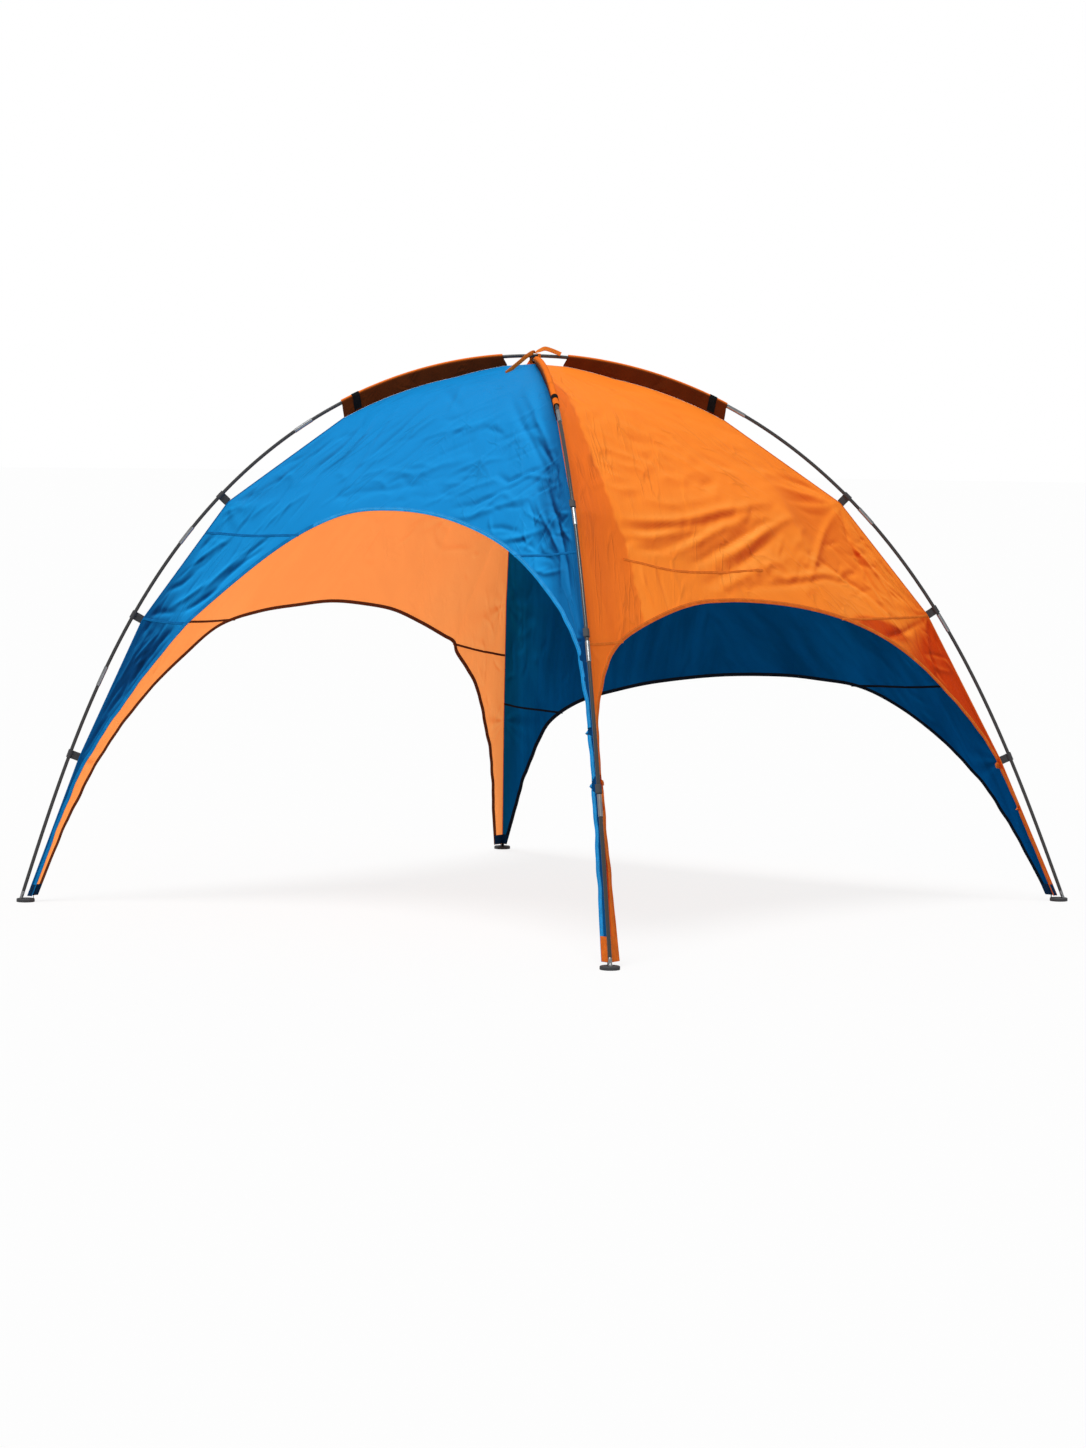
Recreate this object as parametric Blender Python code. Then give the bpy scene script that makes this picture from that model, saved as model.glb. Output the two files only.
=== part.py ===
"""Beach tent: two crossed poles on four feet, with a four-sided canopy of arched panels hung beneath them.

Metres, +Z up. The origin is on the ground at the middle of the base, and the front panel faces -Y.
Pole A runs from the left foot (-X -Y) to the right foot (+X +Y) and lies on top at the crossing.
Pole B runs from the front foot (+X -Y) to the rear foot (-X +Y).
"""

import math
from dataclasses import dataclass

import bmesh
import bpy
import numpy as np
from mathutils import Matrix, Vector

# Overall shape: foot centre to foot centre, height where the poles touch, and how far the crossing
# stands from the middle toward the left foot
BASE_SIDE = 2.70
CROSSING_HEIGHT = 1.990
CROSSING_SHIFT = 0.072

# Clearance between pieces that touch
TOUCH_GAP = 0.0003

# Pole sections, the steel ferrules that join them, and the elastic cord inside
POLE_DIAMETER = 0.0127
POLE_BORE = 0.0075
POLE_STEP = 0.16
FERRULE_LENGTH = 0.075
FERRULE_WALL = 0.00085
CORD_DIAMETER = 0.004

# Metal pole tips: ball centre to shoulder, and the spigot that fills the bore
TIP_LENGTH = 0.0275
SPIGOT_LENGTH = 0.020

# Foot discs, with a round socket for the pole tip and a slot for the webbing tab
FOOT_DIAMETER = 0.066
FOOT_THICKNESS = 0.012
FOOT_ROUNDING = 0.003
SOCKET_FLOOR = 0.00585
SOCKET_EASE = 0.00165
SOCKET_OUTBOARD = 0.016
FOOT_TILT_DEG = 8.0
TAB_WIDTH = 0.010
TAB_THICKNESS = 0.002
TAB_INSET = 0.0285
TAB_SINK = 0.008
TAB_LAP = 0.005

# Canopy cloth
CLOTH_THICKNESS = 0.003
CLOTH_EASE = 0.002
CORNER_INSET = 0.007
PEAK_DROP = 0.0225
FOLD_SHARE = 0.03
SAG_SHARE = 0.025
MITRE_SHARE = 1.25
MITRE_REACH = 0.012
CLOTH_ROWS = 5
CHORD_SPLIT = 2

# Pole sleeves: where they begin and end along the arm, how deep their seam lies below the pole axis
# near the crossing, further down and at the outer end, and the extra length of the seam at each end
UPPER_SLEEVE_START = 0.120
LOWER_SLEEVE_START = 0.050
SLEEVE_END = 0.732
SLEEVE_WALL = 0.0012
SLEEVE_EASE = 0.002
SLEEVE_STEPS = 5
SEAM_LEAD = 0.015
SEAM_TRAIL = 0.018
SEAM_HALF_WIDTH = 0.00075
NECK_REACH = 0.120
NECK_DEPTH = 0.034
SHOULDER_REACH = 0.300
SHOULDER_DEPTH = 0.051
OUTER_SEAM_DEPTH = 0.052

# Webbing band round each sleeve
BAND_START = 0.675
BAND_WIDTH = 0.030
BAND_THICKNESS = 0.0012
BAND_DROP_SHARE = 0.85

# Hook clips: pole axis to canopy ridge, length along the pole, wall, and the open lips
CLIP_REACH = 0.036
CLIP_LENGTH = 0.030
CLIP_WALL = 0.003
CLIP_LIP = 0.010
CLIP_STAND_OFF = 0.003
CROOK_STEPS = 6

# Tie tape knotted over the crossing. Its front tail is placed by shares of the pole's diameter and of
# the peak's drop. Its run over the poles and its back tail are placed by shares of the pole's diameter
# and of the room that a bend takes.
TIE_WIDTH = 0.014
TIE_THICKNESS = 0.0015
TIE_EASE = 0.002
TIE_FRONT_TAIL_SHARES = ((-1.26, -11.6, -2.4), (-1.1, -9.1, -1.65), (-0.55, -6.2, -0.6), (0.0, -3.4, 0.4))
TIE_OVER_SHARES = ((0.0, -1.0, 1.5), (0.0, -0.1, 0.0))
TIE_BACK_TAIL_SHARES = ((0.8, 0.9, 3.0), (2.0, 1.83, 5.9), (3.36, 2.9, 3.8), (4.73, 3.96, 0.4), (5.65, 4.66, -2.2))

# Arch openings, top height of each
FRONT_ARCH_TOP = 1.438
RIGHT_ARCH_TOP = 1.134
LEFT_ARCH_TOP = 1.069
REAR_ARCH_TOP = 0.802

# Arch outlines from the panel's left leg to its right leg. The first value is the place between the
# two ridges at that height (-1 to 1), the second the share of the arch's height.
FRONT_ARCH_SHARES = (
    (-0.985, 0.0), (-0.97, 0.33), (-0.85, 0.62), (-0.62, 0.86), (-0.35, 0.975), (-0.03, 1.0),
    (0.35, 0.975), (0.68, 0.90), (0.91, 0.76), (0.975, 0.60), (0.98, 0.30), (0.975, 0.0),
)
RIGHT_ARCH_SHARES = (
    (-0.96, 0.0), (-0.975, 0.45), (-0.97, 0.67), (-0.90, 0.82), (-0.77, 0.907), (-0.42, 0.985),
    (-0.10, 1.0), (0.30, 0.97), (0.60, 0.90), (0.80, 0.79), (0.93, 0.62), (0.98, 0.45), (0.985, 0.0),
)
REAR_ARCH_SHARES = (
    (-0.983, 0.0), (-0.955, 0.138), (-0.906, 0.365), (-0.833, 0.587), (-0.771, 0.70), (-0.64, 0.805),
    (-0.459, 0.878), (-0.273, 0.932), (0.0, 0.981), (0.26, 0.998), (0.425, 0.988), (0.58, 0.962),
    (0.70, 0.88), (0.80, 0.752), (0.876, 0.588), (0.918, 0.447), (0.944, 0.27), (0.962, 0.08), (0.965, 0.0),
)
LEFT_ARCH_SHARES = (
    (-0.965, 0.0), (-0.957, 0.20), (-0.935, 0.37), (-0.89, 0.555), (-0.82, 0.708), (-0.725, 0.825),
    (-0.61, 0.926), (-0.432, 0.972), (-0.233, 0.991), (-0.07, 1.0), (0.102, 0.988), (0.30, 0.96),
    (0.475, 0.907), (0.62, 0.852), (0.682, 0.826), (0.705, 0.785), (0.774, 0.717), (0.838, 0.635),
    (0.898, 0.471), (0.932, 0.33), (0.946, 0.144), (0.96, 0.0),
)

# Joints and clips along each arm, as shares of the arm from the crossing to its foot
LEFT_JOINT_SHARES = (0.106, 0.305, 0.504, 0.707)
RIGHT_JOINT_SHARES = (0.073, 0.2565, 0.463, 0.626)
CROSSWISE_JOINT_SHARES = (0.0912, 0.2735, 0.4558, 0.6381, 0.8204)
LEFT_CLIP_SHARES = (0.439, 0.622, 0.811)
RIGHT_CLIP_SHARES = (0.4295, 0.6073, 0.8118)
CROSSWISE_CLIP_SHARES = (0.4457, 0.6151, 0.8069)

# Worked out from the sizes above
POLE_RADIUS = POLE_DIAMETER / 2
BORE_RADIUS = POLE_BORE / 2
FERRULE_BORE_RADIUS = POLE_RADIUS + TOUCH_GAP
FERRULE_RADIUS = FERRULE_BORE_RADIUS + FERRULE_WALL
FOOT_RADIUS = FOOT_DIAMETER / 2
TIP_HEIGHT = SOCKET_FLOOR + TOUCH_GAP + POLE_RADIUS
POLE_SPACING = POLE_DIAMETER + TOUCH_GAP
TILT_RISE = (FOOT_RADIUS + SOCKET_OUTBOARD) * math.sin(math.radians(FOOT_TILT_DEG))
CLOTH_BOTTOM = FOOT_THICKNESS + TILT_RISE + CLOTH_EASE
SLEEVE_RADIUS = FERRULE_RADIUS + SLEEVE_EASE
CLIP_FOOT_RADIUS = CLIP_WALL / 2
CLIP_PIVOT_DROP = CLIP_REACH - TOUCH_GAP - CLIP_FOOT_RADIUS

# Fineness of the round shapes
POLE_SIDES = 8
TIP_SIDES = 12
FOOT_SIDES = 32
SOCKET_SIDES = 20
LINE_SAMPLES = 4001
OUTLINE_SAMPLES = 24
SOLVER_ROUNDS = 60
SHARP_ANGLE_DEG = 40.0

# Colour, roughness and metallic value of each finish
FINISHES = {
    "pole_black": ((0.012, 0.012, 0.013), 0.35, 0.0),
    "ferrule_steel": ((0.45, 0.46, 0.47), 0.30, 1.0),
    "cord_black": ((0.02, 0.02, 0.02), 0.80, 0.0),
    "foot_black": ((0.018, 0.018, 0.02), 0.55, 0.0),
    "webbing_black": ((0.010, 0.010, 0.012), 0.85, 0.0),
    "clip_black": ((0.012, 0.012, 0.013), 0.45, 0.0),
    "cloth_blue": ((0.022, 0.282, 0.672), 0.60, 0.0),
    "cloth_orange": ((0.871, 0.230, 0.030), 0.60, 0.0),
    "tape_orange": ((0.871, 0.230, 0.030), 0.75, 0.0),
}


def finish(name):
    """Return the named material, made once."""
    material = bpy.data.materials.get(name)
    if material is None:
        colour, roughness, metallic = FINISHES[name]
        material = bpy.data.materials.new(name)
        material.use_nodes = True
        shader = material.node_tree.nodes["Principled BSDF"]
        shader.inputs["Base Color"].default_value = (*colour, 1.0)
        shader.inputs["Roughness"].default_value = roughness
        shader.inputs["Metallic"].default_value = metallic
        material.diffuse_color = (*colour, 1.0)
    return material


def unit(vectors):
    """Scale each vector, along the last axis, to a length of one."""
    return vectors / np.linalg.norm(vectors, axis=-1, keepdims=True)


def springy_arch(rise, span):
    """Centre line of a straight springy rod bent between two pinned ends.

    The slope angle follows the elastica, so the curve is round at the top and straight at the ends.
    Returns the run along the span, centred on the top, and the climb above the ends.
    """
    turn = np.linspace(-math.pi / 2, math.pi / 2, LINE_SAMPLES)
    least_bend_share, most_bend_share = 0.05, 0.85
    for _ in range(SOLVER_ROUNDS):
        bend = (least_bend_share + most_bend_share) / 2
        sine = bend * np.sin(turn)
        pace = (1 - 2 * sine**2) / np.sqrt(1 - sine**2)
        steps = (pace[1:] + pace[:-1]) / 2 * np.diff(turn)
        run = np.concatenate([[0], np.cumsum(steps)])
        climb = 2 * bend * np.cos(turn)
        if climb.max() / run[-1] < rise / span:
            least_bend_share = bend
        else:
            most_bend_share = bend
    scale = span / run[-1]
    return (run - run[-1] / 2) * scale, climb * scale


class Pole:
    """A bent pole, read by the distance along it from the crossing."""

    def __init__(self, name, heading, crossing_height):
        self.name = name
        span = BASE_SIDE * math.sqrt(2) + 2 * SOCKET_OUTBOARD
        rise = crossing_height - TIP_HEIGHT
        run, climb = springy_arch(rise, span)
        shift = -CROSSING_SHIFT / math.sqrt(2)
        lean = np.array([shift, shift, rise])
        heading = unit(np.array([*heading, 0.0]))
        self.points = np.outer(run, heading) + np.outer(climb / climb.max(), lean)
        self.points[:, 2] += TIP_HEIGHT
        self.lean = unit(lean)
        self.side = unit(np.cross(heading, lean))
        lengths = np.linalg.norm(np.diff(self.points, axis=0), axis=1)
        self.reach = np.concatenate([[0], np.cumsum(lengths)])
        self.reach -= self.reach[LINE_SAMPLES // 2]
        self.directions = unit(np.gradient(self.points, axis=0))
        self.stations = np.zeros(0)

    def at(self, reach):
        """Points of the centre line."""
        return np.stack([np.interp(reach, self.reach, axis) for axis in self.points.T], axis=-1)

    def outward(self, reach):
        """Directions square to the pole, in its own plane, away from the canopy."""
        along = [np.interp(reach, self.reach, axis) for axis in self.directions.T]
        return unit(np.cross(self.side, np.stack(along, axis=-1)))

    def placed(self, reach, sideways, outwards):
        """Points beside the pole: each offset is measured square to it."""
        reach, sideways, outwards = np.broadcast_arrays(reach, sideways, outwards)
        return (
            self.at(reach)
            + sideways[..., None] * self.side
            + outwards[..., None] * self.outward(reach)
        )

    def between(self, start, stop):
        """The shared stations from start to stop, both included."""
        inside = self.stations[(self.stations > start) & (self.stations < stop)]
        return np.concatenate([[start], inside, [stop]])

    def rings(self, stations, radii, sides=POLE_SIDES):
        """One ring of points round the centre line for each station and its radius."""
        angles = np.arange(sides) * 2 * math.pi / sides
        radii = np.asarray(radii)[:, None]
        stations = np.asarray(stations)[:, None]
        return self.placed(stations, radii * np.sin(angles), radii * np.cos(angles))


@dataclass(frozen=True)
class Arm:
    """One half of a pole, from the crossing down to a foot."""

    name: str
    pole: Pole
    sign: int
    joint_shares: tuple
    clip_shares: tuple
    sleeve_start: float
    peak_depth: float

    @property
    def length(self):
        """Distance along the pole from the crossing to the tip's ball centre."""
        return abs(self.pole.reach[0 if self.sign < 0 else -1])

    @property
    def foot(self):
        """The centre of the tip's ball."""
        return self.pole.at(self.sign * self.length)

    @property
    def outboard(self):
        """Level direction from the middle of the base to the foot."""
        return unit(self.foot * np.array([1, 1, 0]))

    def joints(self):
        """Distances of the ferrules' middles."""
        return [share * self.length for share in self.joint_shares]

    def clips(self):
        """Distances of the clips, each slid up the pole where a ferrule would be in its way."""
        room = (FERRULE_LENGTH + CLIP_LENGTH) / 2 + CLIP_STAND_OFF
        places = [share * self.length for share in self.clip_shares]
        for index, place in enumerate(places):
            for joint in self.joints():
                if abs(place - joint) < room:
                    places[index] = joint - room
        return places

    def seam(self):
        """Distances of the sleeve's seam points, with the webbing band's two edges among them."""
        inner = np.linspace(self.sleeve_start - SEAM_LEAD, BAND_START, SLEEVE_STEPS + 1)
        return np.concatenate([inner, [BAND_START + BAND_WIDTH, SLEEVE_END + SEAM_TRAIL]])

    def seam_depth(self, distance):
        """Depth of the canopy's ridge below the pole axis, along the sleeve."""
        reaches = (0, NECK_REACH, SHOULDER_REACH, SLEEVE_END)
        depths = (self.peak_depth, NECK_DEPTH, SHOULDER_DEPTH, OUTER_SEAM_DEPTH)
        return np.interp(distance, reaches, depths)

    def clip_frame(self, distance):
        """Matrix at a clip's pivot: X along the pole, Z away from the canopy."""
        ends = self.pole.at(self.sign * distance + np.array([-0.5, 0.5]) * CLIP_LENGTH)
        middle = ends.mean(axis=0)
        along = unit(ends[1] - ends[0])
        outward = unit(np.cross(self.pole.side, along))
        pivot = middle - outward * CLIP_PIVOT_DROP
        return frame(pivot, along, outward)

    def marks(self):
        """Distances at which the pole needs a station of its own."""
        ends = [self.length - TIP_LENGTH - TOUCH_GAP]
        ends.append(ends[0] - SPIGOT_LENGTH)
        ferrules = [joint + share * FERRULE_LENGTH for joint in self.joints() for share in (-0.5, 0, 0.5)]
        clips = [clip + share * CLIP_LENGTH for clip in self.clips() for share in (-0.5, 0.5)]
        return ends + ferrules + clips + list(self.seam())


@dataclass(frozen=True)
class Ridge:
    """The canopy's edge under one arm, from the peak to the foot."""

    arm: Arm
    points: np.ndarray
    outward: np.ndarray
    slack: np.ndarray


@dataclass(frozen=True)
class Panel:
    """One side of the canopy between two arms, seen from outside from left to right."""

    name: str
    left: str
    right: str
    across: tuple
    facing: tuple
    arch_top: float
    arch_shares: tuple
    finish: str


def frame(origin, x_axis, z_axis):
    """World matrix with the given origin, X axis and Z axis."""
    x_axis, z_axis = Vector(x_axis), Vector(z_axis)
    rotation = Matrix((x_axis, z_axis.cross(x_axis), z_axis)).transposed()
    return Matrix.Translation(Vector(origin)) @ rotation.to_4x4()


def place(name, mesh, finishes, parent, matrix=None):
    """Add an object for the mesh, shaded smooth between its sharp edges."""
    mesh.name = name
    if not mesh.materials:
        for each in finishes:
            mesh.materials.append(finish(each))
    mesh.shade_smooth()
    mesh.set_sharp_from_angle(angle=math.radians(SHARP_ANGLE_DEG))
    item = bpy.data.objects.new(name, mesh)
    bpy.context.scene.collection.objects.link(item)
    item.parent = parent
    if matrix is not None:
        item.matrix_world = matrix
    return item


def skin(rings, loop=False, slots=None):
    """Mesh through rings of points: a loop returns to its first ring, otherwise both ends are capped."""
    shape = bmesh.new()
    rounds = [[shape.verts.new(point) for point in ring] for ring in rings]
    pairs = list(zip(rounds, rounds[1:]))
    if loop:
        pairs.append((rounds[-1], rounds[0]))
    for index, (first, second) in enumerate(pairs):
        for i in range(len(first)):
            j = (i + 1) % len(first)
            face = shape.faces.new((first[i], first[j], second[j], second[i]))
            face.material_index = slots[index] if slots else 0
    if not loop:
        shape.faces.new(rounds[0])
        shape.faces.new(rounds[-1])
    return mesh_of(shape)


def mesh_of(shape):
    """Turn a bmesh into a mesh with its faces pointing outwards."""
    bmesh.ops.recalc_face_normals(shape, faces=shape.faces)
    mesh = bpy.data.meshes.new("shape")
    shape.to_mesh(mesh)
    shape.free()
    return mesh


def turned(profile, sides):
    """Rings of a turned shape about Z, from (radius, height) pairs."""
    angles = np.arange(sides) * 2 * math.pi / sides
    ring = np.stack([np.cos(angles), np.sin(angles), np.zeros(sides)], axis=-1)
    lift = np.array([0, 0, 1])
    return [ring * radius + lift * height for radius, height in profile]


def smooth_line(points, samples):
    """Catmull-Rom curve through the points, with the given number of samples in each span."""
    points = np.asarray(points, float)
    padded = np.concatenate([[2 * points[0] - points[1]], points, [2 * points[-1] - points[-2]]])
    share = np.linspace(0, 1, samples, endpoint=False)[:, None]
    spans = []
    for before, first, second, after in zip(padded, padded[1:], padded[2:], padded[3:]):
        bend = 2 * before - 5 * first + 4 * second - after
        twist = 3 * first - before - 3 * second + after
        spans.append((2 * first + share * (second - before) + share**2 * bend + share**3 * twist) / 2)
    return np.concatenate(spans + [points[-1:]])


def arc_shares(points):
    """Share of the line's length at each of its points."""
    lengths = np.concatenate([[0], np.cumsum(np.linalg.norm(np.diff(points, axis=0), axis=1))])
    return lengths / lengths[-1]


def set_stations(pole, arms):
    """Give the pole its stations: every mark of its two arms, with long runs split evenly."""
    marks = sorted({0.0, *(arm.sign * mark for arm in arms for mark in arm.marks())})
    filled = []
    for start, stop in zip(marks, marks[1:]):
        count = math.ceil((stop - start) / POLE_STEP)
        filled.extend(np.linspace(start, stop, count, endpoint=False))
    pole.stations = np.array(filled + marks[-1:])


def add_sections(pole, arms, root):
    """The hollow sections of a pole, each but the last with the ferrule bonded to its far end."""
    first_arm, last_arm = arms
    inset = TIP_LENGTH + TOUCH_GAP
    joints = sorted([-joint for joint in first_arm.joints()] + last_arm.joints())
    bounds = [inset - first_arm.length, *joints, last_arm.length - inset]
    for number, (start, stop) in enumerate(zip(bounds, bounds[1:]), 1):
        begins = start + (TOUCH_GAP / 2 if number > 1 else 0)
        is_last = number == len(bounds) - 1
        ends = stop - (0 if is_last else TOUCH_GAP / 2)
        body = pole.between(begins, ends)
        outer = [(station, POLE_RADIUS, 0) for station in body]
        if not is_last:
            near, far = stop - FERRULE_LENGTH / 2, stop + FERRULE_LENGTH / 2
            outer = [spot for spot in outer if spot[0] <= near]
            outer += [(station, FERRULE_RADIUS, 1) for station in (near, stop, far)]
            outer += [(station, FERRULE_BORE_RADIUS, 1) for station in (far, ends)]
        loop = outer + [(station, BORE_RADIUS, 0) for station in body[::-1]]
        stations, radii, steel = zip(*loop)
        slots = [max(pair) for pair in zip(steel, steel[1:] + steel[:1])]
        mesh = skin(pole.rings(stations, radii), loop=True, slots=slots)
        place(f"{pole.name}_section_{number}", mesh, ("pole_black", "ferrule_steel"), root)


def add_cord(pole, arms, root):
    """The elastic cord that runs through the pole from spigot to spigot."""
    inset = TIP_LENGTH + SPIGOT_LENGTH + TOUCH_GAP
    stations = pole.between(inset - arms[0].length, arms[1].length - inset)
    curve = bpy.data.curves.new(f"shock_cord_{pole.name[-1]}", "CURVE")
    curve.dimensions = "3D"
    curve.bevel_depth = CORD_DIAMETER / 2
    curve.bevel_resolution = 2
    curve.use_fill_caps = True
    spline = curve.splines.new("POLY")
    spline.points.add(len(stations) - 1)
    for point, place_on_line in zip(spline.points, pole.at(stations)):
        point.co = (*place_on_line, 1.0)
    curve.materials.append(finish("cord_black"))
    item = bpy.data.objects.new(curve.name, curve)
    bpy.context.scene.collection.objects.link(item)
    item.parent = root


def add_tip(arm, root):
    """A turned metal tip: ball end, body and spigot."""
    angles = np.radians([-85, -65, -45, -22, 0])
    profile = [(POLE_RADIUS * math.cos(a), POLE_RADIUS * math.sin(a)) for a in angles]
    spigot = BORE_RADIUS - TOUCH_GAP
    profile += [(POLE_RADIUS, TIP_LENGTH), (spigot, TIP_LENGTH), (spigot, TIP_LENGTH + SPIGOT_LENGTH)]
    inner_end = arm.pole.at(arm.sign * (arm.length - TIP_LENGTH - SPIGOT_LENGTH))
    axis = unit(inner_end - arm.foot)
    matrix = frame(arm.foot, unit(np.cross(arm.pole.side, axis)), axis)
    place(f"pole_tip_{arm.name}", skin(turned(profile, TIP_SIDES)), ("ferrule_steel",), root, matrix)


def box_shape(size, centre):
    """Closed box as a mesh."""
    shape = bmesh.new()
    scale = Matrix.Diagonal((*size, 1.0))
    bmesh.ops.create_cube(shape, size=1.0, matrix=Matrix.Translation(Vector(centre)) @ scale)
    return mesh_of(shape)


def foot_shapes():
    """Meshes of a foot disc and its tab, with the ball centre as origin and X outboard."""
    middle = Vector((-SOCKET_OUTBOARD, 0, FOOT_THICKNESS / 2 - TIP_HEIGHT))
    disc = bmesh.new()
    bmesh.ops.create_cone(
        disc,
        cap_ends=True,
        segments=FOOT_SIDES,
        radius1=FOOT_RADIUS,
        radius2=FOOT_RADIUS,
        depth=FOOT_THICKNESS,
        matrix=Matrix.Translation(middle),
    )
    rim = [edge for edge in disc.edges if min(vert.co.z for vert in edge.verts) > middle.z]
    bmesh.ops.bevel(disc, geom=rim, offset=FOOT_ROUNDING, segments=2, profile=0.5, affect="EDGES")

    top = FOOT_THICKNESS - TIP_HEIGHT
    floor = SOCKET_FLOOR - TIP_HEIGHT
    socket = POLE_RADIUS + SOCKET_EASE
    socket_profile = [(socket, floor), (socket, top + SOCKET_FLOOR)]
    tab_x = -SOCKET_OUTBOARD - TAB_INSET
    tab_top = CLOTH_BOTTOM + TAB_LAP - TIP_HEIGHT
    tab_bottom = top - TAB_SINK
    slot_height = TAB_SINK + SOCKET_FLOOR + TOUCH_GAP
    slot_size = (TAB_THICKNESS + 2 * TOUCH_GAP, TAB_WIDTH + 2 * TOUCH_GAP, slot_height)
    slot_centre = (tab_x, 0, tab_bottom - TOUCH_GAP + slot_height / 2)
    cutters = [skin(turned(socket_profile, SOCKET_SIDES)), box_shape(slot_size, slot_centre)]
    tab_size = (TAB_THICKNESS, TAB_WIDTH, tab_top - tab_bottom)
    tab = box_shape(tab_size, (tab_x, 0, (tab_top + tab_bottom) / 2))
    return cut_by(mesh_of(disc), cutters), tab


def cut_by(mesh, cutters):
    """The mesh with each cutter taken out of it."""
    body = bpy.data.objects.new("body", mesh)
    bpy.context.scene.collection.objects.link(body)
    tools = []
    for cutter in cutters:
        tool = bpy.data.objects.new("cutter", cutter)
        tool.hide_render = True
        tool.display_type = "WIRE"
        bpy.context.scene.collection.objects.link(tool)
        modifier = body.modifiers.new("cut", "BOOLEAN")
        modifier.operation = "DIFFERENCE"
        modifier.object = tool
        tools.append(tool)
    graph = bpy.context.evaluated_depsgraph_get()
    result = bpy.data.meshes.new_from_object(body.evaluated_get(graph))
    for item in [body, *tools]:
        bpy.data.objects.remove(item)
    return result


def add_feet(arms, root):
    """The four feet, each with its tab parented to it."""
    disc, tab = foot_shapes()
    for arm in arms.values():
        matrix = frame(arm.foot, arm.outboard, (0, 0, 1))
        foot = place(f"foot_{arm.name}", disc, ("foot_black",), root, matrix)
        bpy.context.view_layer.update()
        place(f"foot_tab_{arm.name}", tab, ("webbing_black",), foot, matrix)


def clip_outline():
    """Outline of a hook clip across the pole: pivot at the origin, the pole's axis straight above it.

    The crook opens toward +Y, and its lips follow arcs about the pivot, so the clip swings off the pole.
    """
    drop = CLIP_PIVOT_DROP
    inner = (POLE_RADIUS + TOUCH_GAP) / math.cos(math.pi / 2 / CROOK_STEPS)
    outer = inner + CLIP_WALL
    lip = CLIP_LIP / drop
    half = CLIP_FOOT_RADIUS

    def swing(radius, start, stop, count):
        return [(radius * math.sin(a), radius * math.cos(a)) for a in np.linspace(start, stop, count)]

    def crook(radius, start, stop):
        angles = np.linspace(start, stop, CROOK_STEPS + 1)
        return [(radius * math.cos(a), drop + radius * math.sin(a)) for a in angles]

    top, bottom = math.pi / 2, 1.5 * math.pi
    stem_on_lip = math.asin(half / (drop - outer))
    stem_on_crook = bottom - math.asin(half / outer)
    base = [(half * math.cos(a), half * math.sin(a)) for a in np.linspace(0, -math.pi, 5)]
    return (
        swing(drop + inner, lip, 0, 3)[:-1]
        + crook(inner, top, bottom)
        + swing(drop - inner, 0, lip, 3)[1:]
        + swing(drop - outer, lip, stem_on_lip, 3)
        + base
        + crook(outer, stem_on_crook, top)
        + swing(drop + outer, 0, lip, 3)[1:]
    )


def clip_shape():
    """The clip's outline extruded along the pole."""
    shape = bmesh.new()
    outline = [shape.verts.new((-CLIP_LENGTH / 2, y, z)) for y, z in clip_outline()]
    face = shape.faces.new(outline)
    grown = bmesh.ops.extrude_face_region(shape, geom=[face])["geom"]
    moved = [item for item in grown if isinstance(item, bmesh.types.BMVert)]
    bmesh.ops.translate(shape, verts=moved, vec=(CLIP_LENGTH, 0, 0))
    return mesh_of(shape)


def add_clips(arms, root):
    """Three clips on each arm, which share one shape."""
    shape = clip_shape()
    for arm in arms.values():
        for number, distance in enumerate(arm.clips(), 1):
            place(f"clip_{arm.name}_{number}", shape, ("clip_black",), root, arm.clip_frame(distance))


def sleeve_outline(depth, radius, half_width):
    """Teardrop round the pole, from the seam at its right foot over the pole to its left foot."""
    half_arc = math.pi - math.acos(radius / depth)
    angles = np.linspace(half_arc, -half_arc, 7)
    arc = [(radius * math.sin(a), radius * math.cos(a)) for a in angles]
    return np.array([(half_width, -depth), *arc, (-half_width, -depth)])


def sleeve_points(arm, stations, radius, half_width, floor):
    """Sleeve outlines set along the arm. The seam runs on past the pole side at both ends."""
    seam = arm.seam()
    over_pole = np.interp(stations, (seam[0], seam[-1]), (arm.sleeve_start, SLEEVE_END))
    rings = []
    for seam_at, pole_at in zip(stations, over_pole):
        depth = arm.seam_depth(seam_at) - floor
        outline = sleeve_outline(depth, radius, half_width)
        lowness = np.clip(-outline[:, 1] / depth, 0, 1)
        distance = pole_at + (seam_at - pole_at) * lowness
        rings.append(arm.pole.placed(arm.sign * distance, outline[:, 0], outline[:, 1]))
    return np.array(rings)


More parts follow.
